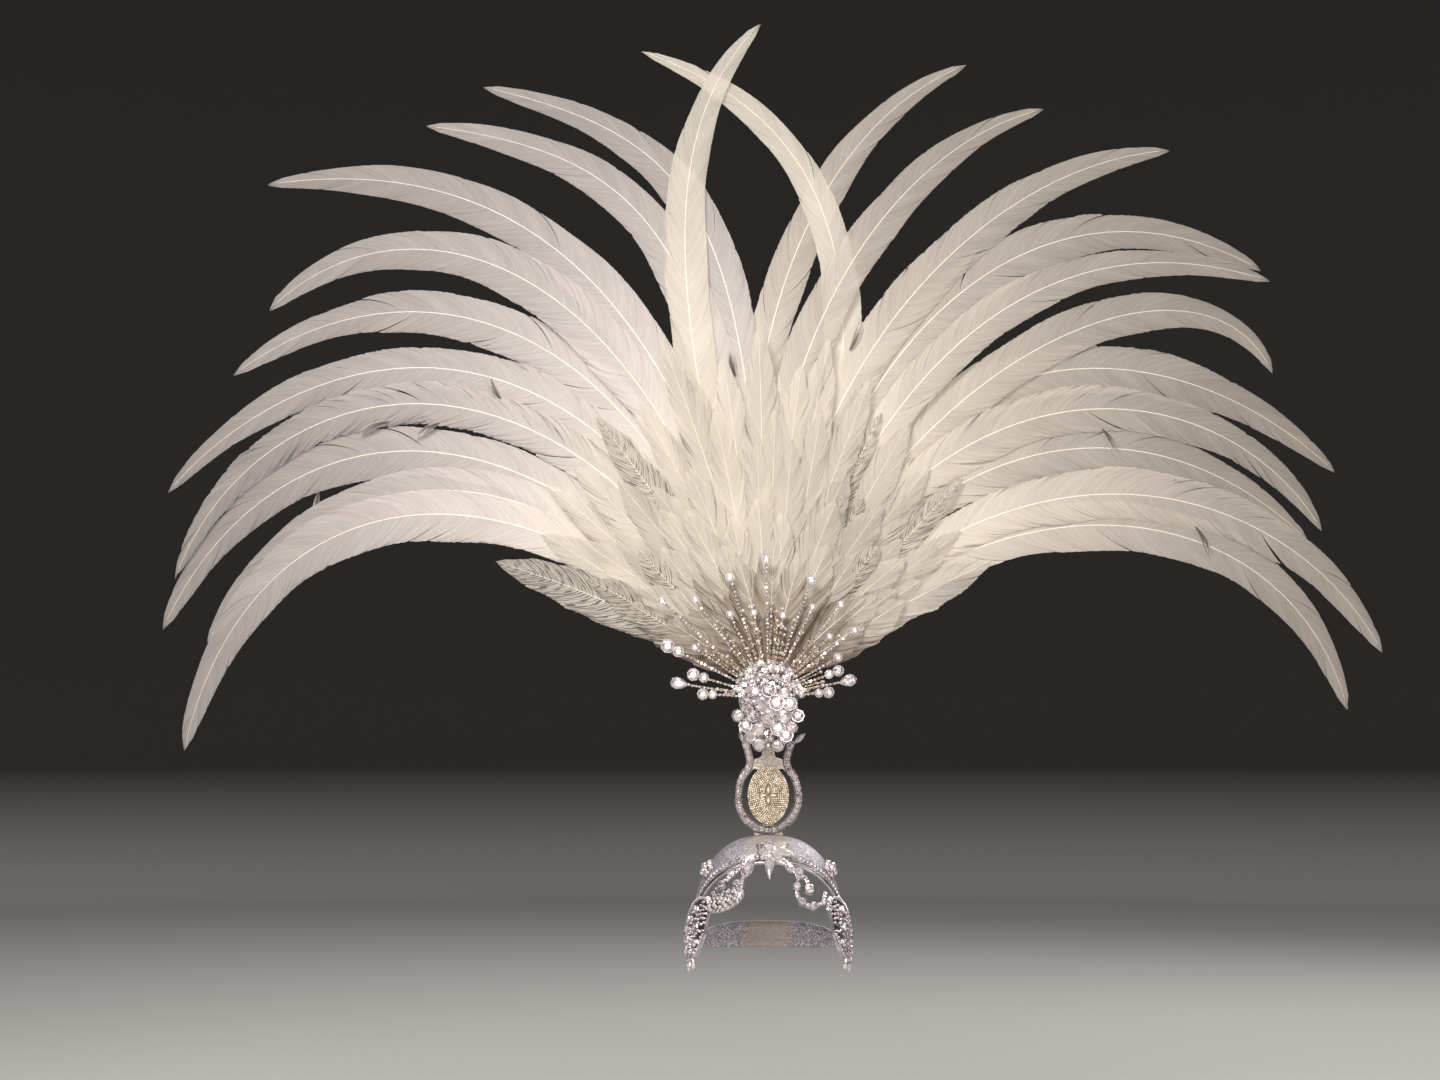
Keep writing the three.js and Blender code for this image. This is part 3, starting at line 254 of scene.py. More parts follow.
# Brow wings in the front view. Bars are rows of (across, down). Stones and the paisley are across, down,
# length, width, turn. Rings of the paisley's stones: share of its half size, count, width of a stone.
LEFT_WING_BARS = [
    [(-0.09, 0.175), (-0.30, 0.25), (-0.50, 0.36), (-0.66, 0.47)],
    [(-0.30, 0.25), (-0.33, 0.38), (-0.42, 0.52), (-0.62, 0.56), (-0.70, 0.49)],
]
LEFT_WING_STONES = [
    (-0.23, 0.215, 22, 9, 214), (-0.27, 0.30, 17, 11, 235), (-0.47, 0.325, 10.5, 10.5, 0),
    (-0.58, 0.42, 10.5, 10.5, 0), (-0.40, 0.41, 9, 9, 0),
]
LEFT_PAISLEY = (-0.53, 0.55, 50, 23, 10)
PAISLEY_RINGS = [(0.88, 20, 4.4), (0.60, 13, 4.8), (0.30, 6, 5.2), (0, 1, 6)]
RIGHT_WING_BARS = [
    [(0.09, 0.175), (0.26, 0.26), (0.35, 0.36), (0.345, 0.50), (0.47, 0.59), (0.64, 0.58), (0.70, 0.49)],
    [(0.35, 0.36), (0.44, 0.36), (0.50, 0.44)],
]
RIGHT_WING_STONES = [
    (0.24, 0.275, 14, 7.5, 305), (0.365, 0.315, 10, 10, 0), (0.49, 0.455, 13, 13, 0), (0.34, 0.43, 9, 9, 0),
    (0.40, 0.56, 9, 9, 0), (0.54, 0.595, 10, 10, 0), (0.66, 0.57, 8, 8, 0),
]
# Petals of the brow flower: turn in degrees, reach.
FLOWER_PETALS = [(270, 37), (350, 28), (312, 26), (20, 24), (195, 14), (232, 15), (90, 15), (150, 16)]

# Stones of the rosette, as shares of its half size: across, up, size.
ROSETTE_STONES = [
    (-0.27, -0.92, 0.18), (0.23, -0.92, 0.18), (-0.52, -0.70, 0.18), (0.50, -0.68, 0.18),
    (-0.84, -0.10, 0.17), (0.82, -0.14, 0.17), (-0.66, -0.40, 0.17), (0.66, -0.42, 0.17),
    (-0.30, -0.50, 0.20), (0.26, -0.48, 0.20), (-0.44, -0.12, 0.21), (0.42, -0.12, 0.21),
    (0, -0.16, 0.26), (-0.62, 0.22, 0.18), (0.60, 0.20, 0.18), (-0.22, 0.24, 0.22),
    (0.24, 0.24, 0.21), (-0.40, 0.56, 0.17), (0.02, 0.60, 0.19), (0.42, 0.54, 0.17),
]

# Rhinestone wires: turn in degrees, reach, size of the end stone, 1 for a drop.
SPRAY_ROWS = {
    "spray_row_left": (120, 178, [
        (127, 0.85, 0.6, 0), (138, 1.00, 0.7, 0), (146, 0.62, 0.6, 0), (153, 0.79, 1.1, 0),
        (163, 0.55, 1.0, 0), (171, 0.63, 1.0, 1), (177, 0.46, 0.9, 0)]),
    "spray_row_centre": (61, 117, [
        (64, 0.70, 0.6, 0), (70, 0.87, 0.7, 0), (80, 0.58, 0.6, 0), (91, 0.96, 0.7, 0),
        (100, 0.60, 0.6, 0), (108, 0.88, 0.7, 0), (115, 0.64, 0.6, 0)]),
    "spray_row_right": (2, 58, [
        (52, 0.82, 0.6, 0), (45, 0.60, 0.6, 0), (38, 0.76, 0.7, 0), (30, 0.56, 0.7, 0),
        (21, 0.52, 0.9, 0), (12, 0.56, 1.0, 1), (5, 0.42, 0.9, 0)]),
}

# Rings of a cut stone and of its cup, as shares of their width and height: radius, height, turn in sides
GEM_RINGS = [(0.40, 0, 0), (0.5, 0.34, 0), (0.5, 0.42, 0), (0.40, 0.78, 0.5), (0.26, 1, 0)]
CUP_RINGS = [(0.50, 0), (0.57, 0), (0.57, 0.5), (0.50, 0.5)]
DROP_TAPER = 1.55


# Meshes

class Parts:
    """Vertices and faces of one piece in millimetres, gathered part by part.

    marks holds four numbers for each vertex, kept as two UV maps for the materials."""

    def __init__(self):
        self.points, self.marks, self.faces, self.looks, self.smooth = [], [], [], [], []
        self.count = 0

    def add(self, points, faces, look=0, marks=None, smooth=False):
        points = np.asarray(points, float).reshape(-1, 3)
        if marks is None:
            marks = np.zeros((len(points), 4))
        self.points.append(points)
        self.marks.append(marks.reshape(-1, 4))
        for block in faces:
            block = np.asarray(block, int)
            if len(block):
                self.faces.append(block + self.count)
                self.looks.append(np.full(len(block), look))
                self.smooth.append(np.full(len(block), smooth))
        self.count += len(points)


def make_piece(name, parts, materials):
    points = np.concatenate(parts.points) * MM
    marks = np.concatenate(parts.marks)
    loops = np.concatenate([block.ravel() for block in parts.faces])
    sizes = np.concatenate([np.full(len(block), block.shape[1]) for block in parts.faces])
    mesh = bpy.data.meshes.new(name)
    mesh.vertices.add(len(points))
    mesh.vertices.foreach_set("co", points.ravel())
    mesh.loops.add(len(loops))
    mesh.loops.foreach_set("vertex_index", loops)
    mesh.polygons.add(len(sizes))
    mesh.polygons.foreach_set("loop_start", np.concatenate([[0], np.cumsum(sizes)[:-1]]))
    mesh.polygons.foreach_set("material_index", np.concatenate(parts.looks))
    mesh.polygons.foreach_set("use_smooth", np.concatenate(parts.smooth))
    for layer, columns in (("barb", marks[:, :2]), ("lock", marks[:, 2:])):
        mesh.uv_layers.new(name=layer).data.foreach_set("uv", columns[loops].ravel())
    mesh.update(calc_edges=True)
    for material in materials:
        mesh.materials.append(material)
    piece = bpy.data.objects.new(name, mesh)
    bpy.context.scene.collection.objects.link(piece)
    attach(piece, "root")
    return piece


def grid_faces(rows, columns, closed=False):
    """Quads between the points of a grid, row by row."""
    steps = np.arange(columns if closed else columns - 1)
    row, column = np.meshgrid(np.arange(rows - 1), steps, indexing="ij")
    near = (row * columns + column).ravel()
    after = (row * columns + (column + 1) % columns).ravel()
    return np.stack([near, after, after + columns, near + columns], axis=1)


def unit(vectors):
    return vectors / np.linalg.norm(vectors, axis=-1, keepdims=True)


def read_line(line, run, spots):
    """The line whose points lie at run, read at spots."""
    return np.stack([np.interp(spots, run, column) for column in line.T], axis=-1)


def frames_along(spots, along, outs):
    return spots, along, unit(np.cross(outs, along)), outs


def rows_of(frames):
    """The columns of frames, each as rows of three numbers."""
    return [np.asarray(column, float).reshape(-1, 3) for column in frames]


def facing(points):
    """The way to the front, once for each point."""
    return np.broadcast_to(np.array([0.0, -1.0, 0.0]), np.shape(points))


def distance_along(points):
    """Length of a line up to each of its points."""
    return np.concatenate([[0], np.cumsum(np.linalg.norm(np.diff(points, axis=0), axis=1))])


def spread(line, values, count):
    """Values read at even distances along a line."""
    lengths = distance_along(line)
    return np.interp((np.arange(count) + 0.5) / count * lengths[-1], lengths, values)


def sweep(parts, points, outs, section, look=0, smooth=True, scale=None):
    """Closed body along points. section lists (across, up) in millimetres, up along outs."""
    points, outs = np.asarray(points, float), np.asarray(outs, float)
    along = np.gradient(points, axis=0)
    side = unit(np.cross(along, outs))
    section = np.asarray(section, float)
    factor = np.ones(len(points)) if scale is None else np.asarray(scale, float)
    ring = (points[:, None] + side[:, None] * section[None, :, :1] * factor[:, None, None]
            + outs[:, None] * section[None, :, 1:] * factor[:, None, None])
    count = len(section)
    last = (len(points) - 1) * count
    caps = [np.arange(count)[None, ::-1], np.arange(count)[None] + last]
    parts.add(ring, [grid_faces(len(points), count, closed=True)], look, smooth=smooth)
    parts.add(ring, caps, look)


def round_section(width, height, sides=10):
    turn = np.linspace(0, 2 * np.pi, sides, endpoint=False)
    return np.stack([np.cos(turn) * width / 2, np.sin(turn) * height / 2], axis=1)


def arch_section(width, height):
    """Flat below and rounded above."""
    turn = np.linspace(0, np.pi, 9)
    return np.stack([np.cos(turn) * width / 2, np.sin(turn) ** 0.7 * height], axis=1)


def level_ring(sides, radius, height, shift=0):
    """Points of a level ring. shift turns it by a share of one side."""
    turn = 2 * np.pi * (np.arange(sides) + shift) / sides
    return np.stack([radius * np.cos(turn), radius * np.sin(turn), np.full(sides, height)], axis=1)


def gem_template(sides, drop=False):
    """Cut stone of width, length and height one on its base, with a table, crown facets and a girdle."""
    points = np.concatenate([level_ring(sides, *row) for row in GEM_RINGS])
    if drop:
        points[:, 1] *= np.where(points[:, 0] < 0, 1 - DROP_TAPER * np.abs(points[:, 0]), 1)
    here = np.arange(sides)
    after = (here + 1) % sides
    girdle, crown, table = 2 * sides, 3 * sides, 4 * sides
    facets = np.concatenate([
        np.stack([here + girdle, after + girdle, here + crown], axis=1),
        np.stack([here + crown, after + girdle, after + crown], axis=1),
        np.stack([here + crown, after + table, here + table], axis=1),
        np.stack([here + crown, after + crown, after + table], axis=1),
    ])
    return points, [grid_faces(3, sides, closed=True), facets, here[None, ::-1], here[None] + table]


def cup_template(sides):
    """Setting round a stone of width one: a low wall, open above."""
    points = np.concatenate([level_ring(sides, *row) for row in CUP_RINGS])
    return points, [grid_faces(len(CUP_RINGS), sides, closed=True)]


def bead_template(sides=8, rings=4):
    """Round bead of width one."""
    rise = np.linspace(-np.pi / 2, np.pi / 2, rings + 1)[1:-1]
    turn = 2 * np.pi * np.arange(sides) / sides
    body = [[0.5 * math.cos(r) * math.cos(t), 0.5 * math.cos(r) * math.sin(t), 0.5 * math.sin(r)]
            for r in rise for t in turn]
    points = np.array(body + [[0, 0, -0.5], [0, 0, 0.5]])
    here = np.arange(sides)
    after = (here + 1) % sides
    top = (len(rise) - 1) * sides
    low_cap = np.stack([after, here, np.full(sides, len(body))], axis=1)
    top_cap = np.stack([here + top, after + top, np.full(sides, len(body) + 1)], axis=1)
    return points, [grid_faces(len(rise), sides, closed=True), low_cap, top_cap]


ROUND_GEM = gem_template(8)
SMALL_GEM = gem_template(6)
DROP_GEM = gem_template(10, drop=True)
CUP = cup_template(8)
BEAD = bead_template()


def place(parts, template, frames, sizes, look=0, smooth=False, tones=None):
    """Sets one template at many frames, each (origin, right, up, out). Sizes are (length, width, height)."""
    shape, faces = template
    origin, right, up, out = rows_of(frames)
    sizes = np.broadcast_to(np.asarray(sizes, float), (len(origin), 3))
    local = shape[None] * sizes[:, None]
    points = (origin[:, None] + local[..., :1] * right[:, None] + local[..., 1:2] * up[:, None]
              + local[..., 2:] * out[:, None])
    many, each = points.shape[:2]
    tones = SPARKLE.random(many) if tones is None else np.asarray(tones, float)
    marks = np.zeros((many, each, 4))
    marks[..., 2] = tones[:, None]
    steps = (np.arange(many) * each)[:, None, None]
    blocks = [(block[None] + steps).reshape(-1, block.shape[1]) for block in faces]
    parts.add(points, blocks, look, marks, smooth)


SPARKLE = np.random.default_rng(SEED)
CRYSTAL, METAL, GLITTER, WIRE = 0, 1, 2, 3


def set_stones(parts, frames, sizes, sunk=0.0, template=ROUND_GEM):
    """Cut stones in their cups."""
    origin, right, up, out = rows_of(frames)
    frames = origin - out * sunk, right, up, out
    place(parts, template, frames, sizes, CRYSTAL)
    place(parts, CUP, frames, sizes, METAL)


def turned(frames, degrees):
    """The same frames, turned about their outward axes."""
    origin, right, up, out = rows_of(frames)
    turn = np.radians(np.broadcast_to(np.asarray(degrees, float), (len(origin),)))[:, None]
    cos, sin = np.cos(turn), np.sin(turn)
    return origin, right * cos + up * sin, up * cos - right * sin, out


def tipped(frames, degrees):
    """The same frames, turned about their right axes so that their faces look down."""
    origin, right, up, out = frames
    cos, sin = math.cos(math.radians(degrees)), math.sin(math.radians(degrees))
    return origin, right, up * cos + out * sin, out * cos - up * sin


def moved(frames, along, side=0.0, outward=0.0):
    origin, right, up, out = frames
    shift = [np.reshape(np.asarray(value, float), (-1, 1)) for value in (along, side, outward)]
    return origin + right * shift[0] + up * shift[1] + out * shift[2], right, up, out


def leaning(frames, draw, amount):
    """The same frames, each leaning a little its own way."""
    origin, right, up, out = rows_of(frames)
    lean = draw.normal(size=(len(origin), 2)) @ np.array([[1, 0, 0], [0, 0, 1]])
    out = unit(out + amount * lean / 1.5)
    right = unit(np.cross(up, out))
    return origin, right, np.cross(out, right), out


def front_frames(places):
    """Frames that face the front, at (x, y, z)."""
    places = np.asarray(places, float).reshape(-1, 3)
    right, up = (np.broadcast_to(np.array(axis, float), places.shape) for axis in ((1, 0, 0), (0, 0, 1)))
    return places, right, up, facing(places)


def even(points, step):
    """Points at even steps along a line, and the direction of the line there."""
    points = np.asarray(points, float)
    share = distance_along(points)
    count = max(int(round(share[-1] / step)), 1)
    spots = (np.arange(count) + 0.5) * share[-1] / count
    return read_line(points, share, spots), unit(read_line(np.gradient(points, axis=0), share, spots))


def smooth_line(points, steps=10):
    """Catmull-Rom line through points."""
    points = np.asarray(points, float)
    padded = np.concatenate([[2 * points[0] - points[1]], points, [2 * points[-1] - points[-2]]])
    t = np.linspace(0, 1, steps, endpoint=False)[:, None]
    runs = []
    for a, b, c, d in zip(padded, padded[1:], padded[2:], padded[3:]):
        runs.append(0.5 * (2 * b + (c - a) * t + (2 * a - 5 * b + 4 * c - d) * t ** 2
                           + (3 * b - a - 3 * c + d) * t ** 3))
    return np.concatenate([*runs, points[-1:]])


# The crown's surface

def crown_point(side, tilt, rise):
    """Point of the crown at a rise above the head.

    side runs from the right ear over the top and tilt leans forward, both in radians."""
    side, tilt, rise = np.broadcast_arrays(side, tilt, rise)
    power = 2 / CROWN_SQUARENESS
    across = np.sign(np.cos(side)) * np.abs(np.cos(side)) ** power
    over = np.abs(np.sin(side)) ** power
    return np.stack([
        (HEAD_HALF_BREADTH + rise) * across,
        -(HEAD_HALF_DEPTH + rise) * over * np.sin(tilt),
        -CROWN_DEPTH + (CROWN_DEPTH + rise) * over * np.cos(tilt),
    ], axis=-1)


def crown_frames(side, tilt, rise):
    step = 0.01
    right = unit(crown_point(side - step, tilt, rise) - crown_point(side + step, tilt, rise))
    steep = crown_point(side, tilt - step, rise) - crown_point(side, tilt + step, rise)
    out = unit(np.cross(right, steep))
    return crown_point(side, tilt, rise), right, np.cross(out, right), out


def crown_spot(across, down):
    """The side and tilt of the point that a front view shows at these shares of half breadth and depth."""
    across, down = np.asarray(across, float), np.asarray(down, float)
    side = np.arccos(np.sign(across) * np.abs(across) ** (CROWN_SQUARENESS / 2))
    over = np.sin(side) ** (2 / CROWN_SQUARENESS)
    return side, np.arccos(np.minimum((1 - down) / over, 1))


def crown_strip(parts, tilts, rises, steps=96, tilt_steps=14, look=0):
    """Strip of the crown between two tilts in degrees and two rises, with softened edges."""
    low, high = rises
    soft = 0.25 * (high - low)
    lean = np.radians(np.linspace(tilts[0], tilts[1], tilt_steps))
    first, last = lean[0], lean[-1]
    inset = np.sign(last - first) * soft / CROWN_DEPTH
    section = [(first, low + soft), (first, high - soft), (first + inset, high)]
    section += [(tilt, high) for tilt in lean[1:-1]]
    section += [(last - inset, high), (last, high - soft), (last, low + soft)]
    section += [(tilt, low) for tilt in lean[::-1]]
    tilt, rise = np.array(section).T
    side = np.radians(np.linspace(BAND_END_SIDE, 180 - BAND_END_SIDE, steps))
    points = crown_point(side[:, None], tilt[None], rise[None])
    count = len(tilt)
    caps = [np.arange(count)[None], np.arange(count)[None, ::-1] + (steps - 1) * count]
    parts.add(points, [grid_faces(steps, count, closed=True)[:, ::-1]], look, smooth=True)
    parts.add(points, caps, look)


def flap_point(hand, along, down, rise):
    along, down, rise = np.broadcast_arrays(along, down, rise)
    depth = HEAD_HALF_DEPTH + rise
    up = np.maximum(CROWN_DEPTH * (1 - down), 0) / (CROWN_DEPTH + rise)
    y = -along * HEAD_HALF_DEPTH
    reach = np.minimum(np.hypot(y / depth, up), 1)
    out = (1 - reach ** CROWN_SQUARENESS) ** (1 / CROWN_SQUARENESS)
    return np.stack([hand * (HEAD_HALF_BREADTH + rise) * out, y, -CROWN_DEPTH * down], axis=-1)


def flap_frames(hand, along, down, rise):
    step = 0.02
    forward = flap_point(hand, along + step, down, rise) - flap_point(hand, along - step, down, rise)
    up = flap_point(hand, along, down - step, rise) - flap_point(hand, along, down + step, rise)
    out = unit(np.cross(up, forward)) * hand
    right = unit(np.cross(up, out))
    return flap_point(hand, along, down, rise), right, np.cross(out, right), out


# Feathers

class Quill:
    """Cubic curve in the plane of the fan, read by the share of its length."""

    def __init__(self, start, tip, root, heading, lead, hook):
        span = np.linalg.norm(tip - HUB)
        corners = [HUB + direction(root) * start, HUB + direction(root) * lead * span,
                   tip - direction(heading) * hook * span, tip]
        t = np.linspace(0, 1, 300)[:, None]
        weights = (1 - t) ** 3, 3 * (1 - t) ** 2 * t, 3 * (1 - t) * t ** 2, t ** 3
        self.points = sum(weight * corner for weight, corner in zip(weights, corners))
        lengths = distance_along(self.points)
        self.length = lengths[-1]
        self.share = lengths / self.length
        self.slopes = unit(np.gradient(self.points, axis=0))

    def read(self, columns, along):
        return read_line(columns, self.share, along)

    def place(self, along, side, depth):
        """Points at a share of the length, a distance to one side and a depth behind the fan's lean."""
        middle, slope = self.read(self.points, along), unit(self.read(self.slopes, along))
        x = middle[..., 0] - slope[..., 1] * side
        z = middle[..., 1] + slope[..., 0] * side
        reach = np.hypot(x, z - HUB_HEIGHT) / FAN_HEIGHT
        return np.stack([x, FAN_LEAN * reach ** 2 + depth, z], axis=-1)


def direction(degrees):
    return np.array([math.cos(math.radians(degrees)), math.sin(math.radians(degrees))])


# How the barbs of a kind of feather lie, in millimetres: pitch between barbs, advance of a barb's tip towards
# the feather's tip, shortest and longest lock, opening and spread of a split, droop of the edge, lift of a
# lock, ripple of the edge and width of the shaft. first is where the vane starts, parting_shade the share of
# locks whose edges get painted shade where they part, rough the raggedness as a share of the width, roll a
# lean in degrees, columns the steps across a vane and stations those along the shaft.
LONG_VANE = dict(first=0.06, pitch=3.2, advance=46, lock=(24, 130), opening=0.5, spread=13, droop=3.2,
                 parting_shade=0.35, lift=0.4, ripple=0.8, rough=0.024, roll=5, columns=6, shaft=2.4, stations=40)
SHORT_VANE = dict(first=0.10, pitch=2.6, advance=48, lock=(14, 90), opening=0.8, spread=10, droop=2.0,
                  parting_shade=0.3, lift=0.55, ripple=0.9, rough=0.05, roll=5, columns=5, shaft=1.8, stations=24)
VANE, SHAFT, BARRED = 0, 1, 2


def add_vane(parts, quill, hand, half_width, depth, kind, draw, rough, look, roll, shade):
    """One side of a vane, lock by lock. Each lock is a ribbed sheet of zipped barbs."""
    length = quill.length
    cuts = [kind["first"]]
    while cuts[-1] < 1:
        near_tip = 1 if cuts[-1] < 0.85 else 0.6
        cuts.append(cuts[-1] + draw.uniform(*kind["lock"]) * near_tip / length)
    cuts[-1] = 0.995
    cuts = np.array(cuts)
    opening = draw.exponential(kind["opening"], len(cuts)) * rough / length
    opening[draw.random(len(cuts)) < WIDE_SPLIT_SHARE] *= WIDE_SPLIT_TIMES
    opening = np.minimum(opening, 1.5 * kind["spread"] / length)
    spread, reach = kind["spread"] / length, kind["advance"] / length
    parting_shade = np.where(draw.random(len(cuts)) < kind["parting_shade"], 1.0, 0.15)
    parting_shade[[0, -1]] = 0
    wave = draw.uniform(0, 2 * np.pi, 3)
    t = np.linspace(0, 1, kind["columns"] + 1)[None]
    for index, (begin, end) in enumerate(zip(cuts, cuts[1:])):
        if end <= begin:
            continue
        barbs = max(int(round((end - begin) * length / kind["pitch"])), 1)
        root = np.linspace(begin, end, 2 * barbs + 1)
        edge = root + reach * (1 - np.exp((root - 1) / reach))
        shift = np.zeros(len(root))
        for cut, width in zip(cuts[1:-1], opening[1:-1]):
            side = 1 if cut <= begin + 1e-9 else -1
            shift += side * width / 2 * np.exp(-np.abs(root - cut) / spread)
        along = root[:, None] + (edge - root)[:, None] * t ** 1.25 + shift[:, None] * t ** 2.4
        along = np.minimum(along, 1)
        reached = half_width(np.minimum(edge, 1))
        ragged = 1 + kind["rough"] * rough * (draw.normal() * 0.7 + draw.normal(size=len(root)) * 0.45)
        ragged += 0.05 * np.sin(edge * 17 + wave[0]) + 0.035 * np.sin(edge * 39 + wave[1])
        notch = np.exp(-np.minimum(root - begin, end - root) * length / 2.0)
        ragged -= 0.05 * notch * rough
        side = (reached * ragged)[:, None] * (1 - (1 - t) ** 1.3)
        rib = np.where(np.arange(len(root)) % 2 == 0, RIB_HEIGHT, -RIB_HEIGHT)[:, None]
        lift = kind["lift"] * draw.normal() * rough ** 0.5
        level = (depth + kind["droop"] * t ** 2 + lift * t ** 1.5 + math.tan(math.radians(roll)) * hand * side
                 + kind["ripple"] * t * np.sin(root * 19 + wave[2])[:, None] + rib * np.minimum(4 * t, 1))
        points = quill.place(along, hand * side, level)
        tone = np.full(along.shape, 0.35 * draw.random() + 0.65 * shade)
        # Painted shade: the first and last rows of a lock are darkened towards its edge, where locks part.
        tone[[0, -1]] -= t[0] * parting_shade[index:index + 2, None]
        marks = np.stack([np.broadcast_to(root[:, None] * length, along.shape),
                          np.broadcast_to(hand * t, along.shape), tone, along], axis=-1)
        faces = grid_faces(len(root), t.shape[1])
        parts.add(points, [faces if hand > 0 else faces[:, ::-1]], look, marks, smooth=True)


def add_quill(parts, quill, depth, thick, stations):
    """Tapered shaft of a feather, proud of both faces of its vane."""
    along = np.linspace(0, 0.985, stations)
    middle = quill.place(along, 0, depth - 0.25)
    taper = 1 - 0.86 * along ** 0.8
    sweep(parts, middle, facing(middle), round_section(thick, thick * 0.8, sides=6), SHAFT, scale=taper)


def add_feather(parts, quill, half_width, depth, kind, draw, rough=1.0, look=VANE):
    """Both sides of a vane, and its shaft."""
    roll, shade = draw.uniform(-1, 1) * kind["roll"], draw.random()
    for hand in (1, -1):
        add_vane(parts, quill, hand, half_width, depth, kind, draw, rough, look, roll, shade)
    add_quill(parts, quill, depth, kind["shaft"], kind["stations"])


def add_loose_lock(parts, quill, depth, along, hand, half, length, turn):
    """Narrow lock of barbs that has come away from the vane's edge, and hangs or curls."""
    draw = np.random.default_rng(SEED + int(1000 * along))
    foot = quill.place(along, hand * half * 0.8, depth - 0.6)
    count = 12
    t = np.linspace(0, 1, count)
    bend = np.radians(turn + 50 * hand * (t - 0.5) * 0.6)
    ahead = np.stack([np.cos(bend), np.zeros(count), np.sin(bend)], axis=1)
    side = np.stack([-np.sin(bend), np.zeros(count), np.cos(bend)], axis=1)
    middle = foot + np.cumsum(length / (count - 1) * ahead, axis=0)
    width = (STRAND_HALF_WIDTH * np.sin(np.pi * np.minimum(t * 0.9 + 0.1, 1)) ** 0.7 + 0.05)[:, None]
    for strand in range(LOCK_STRANDS):
        apart = (strand - LOCK_STRANDS // 2) * STRAND_HALF_WIDTH * np.sin(np.pi * t * 0.75)
        apart += draw.normal() * t ** 2 * 2
        reach = 0.7 + 0.3 * draw.random()
        line = foot + (middle - foot) * reach + side * apart[:, None]
        grid = np.stack([line - side * width, line + side * width], axis=1)
        marks = np.zeros((count, 2, 4))
        marks[..., 0] = (along * quill.length + t * length)[:, None]
        marks[..., 2], marks[..., 3] = 0.7, 0.8
        parts.add(grid, [grid_faces(count, 2)], VANE, marks, smooth=True)


def reader(outline, half):
    along, share = np.array(outline).T
    return lambda where: np.interp(where, along, share) * half


def add_long_feathers():
    for index, row in enumerate(LONG_FEATHERS):
        row = dict(zip(LONG_COLUMNS, row))
        draw = np.random.default_rng(SEED + index)
        tip = np.array([row["across"] * FAN_HALF_WIDTH, HUB_HEIGHT + row["up"] * FAN_HEIGHT])
        quill = Quill(HOLDER_RADIUS + GAP, tip, row["root"], row["heading"], row["lead"], row["hook"])
        depth = LAYER_STEP * (row["layer"] + 0.5)
        half = row["broad"] * FEATHER_WIDTH / 2
        parts = Parts()
        add_feather(parts, quill, reader(FEATHER_OUTLINE, half), depth, LONG_VANE, draw, row["rough"])
        for number, share, hand, length, turn in LOOSE_LOCKS:
            if number == index + 1:
                add_loose_lock(parts, quill, depth, share, hand, half, length, turn)
        tint = "lilac" if row["across"] < -0.3 else "beige" if row["across"] > 0.3 else "cream"
        node = f"long_feather_{index + 1:02d}"
        piece = make_piece(f"plumage_{node}", parts, [LOOKS[f"feather_{tint}"], LOOKS["quill"]])
        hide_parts(node)


def add_plumes():
    for number, row in enumerate(PLUMES):
        row = dict(zip(PLUME_COLUMNS, row))
        draw = np.random.default_rng(SEED + 100 + number)
        middle = -GAP - PLUME_BAND / 2 - row["band"] * (PLUME_BAND + GAP)
        parts = Parts()
        for index, share in enumerate(np.linspace(0, 1, row["count"])):
            share = np.clip(share + draw.uniform(-0.03, 0.03), 0, 1)
            root = row["start"] + (row["end"] - row["start"]) * share
            turned_by = row["bend"] + (root - 90) * row["spread"] + draw.normal() * 3
            stagger = PLUME_STAGGER[index % len(PLUME_STAGGER)] * draw.uniform(0.95, 1)
            reach = row["reach_start"] + (row["reach_end"] - row["reach_start"]) * share
            tip = HUB + direction(root + turned_by / 2) * FAN_HEIGHT * reach * stagger
            quill = Quill(HOLDER_RADIUS * 0.8, tip, root, root + turned_by, PLUME_LEAD, PLUME_HOOK)
            depth = middle + PLUME_BAND * (0.42 - 0.84 * (1 - stagger) / 0.33)
            half_width = reader(PLUME_OUTLINE, PLUME_FEATHER_WIDTH / 2 * draw.uniform(0.78, 1))
            look = BARRED if index in row["barred"] else VANE
            add_feather(parts, quill, half_width, depth, SHORT_VANE, draw, look=look)
        looks = [LOOKS[f"feather_{row['tint']}"], LOOKS["quill"], LOOKS["feather_barred"]]
        piece = make_piece(f"plumage_{row['name']}", parts, looks)
        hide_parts(row["name"])


# Crown

def jewel_piece(name, parts, node):
    piece = make_piece(name, parts, [LOOKS[look] for look in ("crystal", "silver", "glitter", "wire")])
    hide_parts(node)


def add_crown():
    band = Parts()
    crown_strip(band, (BAND_BACK_TILT, BAND_FRONT_TILT), (0, BAND_THICK), look=GLITTER)
    sides = np.radians(np.linspace(BAND_END_SIDE + 2, 178 - BAND_END_SIDE, 240))
    tilt = np.radians(BAND_FRONT_TILT - BAND_STONE_INSET)
    line = crown_point(sides, tilt, BAND_THICK)
    sides = spread(line, sides, int(round(distance_along(line)[-1] / BAND_STONE_STEP)))
    set_stones(band, crown_frames(sides, tilt, BAND_THICK), BAND_STONE, sunk=0.6, template=SMALL_GEM)
    jewel_piece("crown_band_glitter", band, "crown_band")
    arch = Parts()
    sides = np.radians(np.linspace(BAND_END_SIDE, 180 - BAND_END_SIDE, 120))
    origin, _, _, out = crown_frames(sides, np.radians(ARCH_TILT), 0)
    sweep(arch, origin + out * ARCH_THICK / 2, out, round_section(ARCH_WIDTH, ARCH_THICK, 12), METAL)
    jewel_piece("middle_arch_tube", arch, "middle_arch")
    rear = Parts()
    low = ARCH_THICK + GAP - BAND_THICK
    tilts = (REAR_BAND_TOP_TILT, REAR_BAND_LOW_TILT)
    crown_strip(rear, tilts, (low, low + BAND_THICK), tilt_steps=5, look=GLITTER)
    jewel_piece("rear_band_glitter", rear, "rear_band")


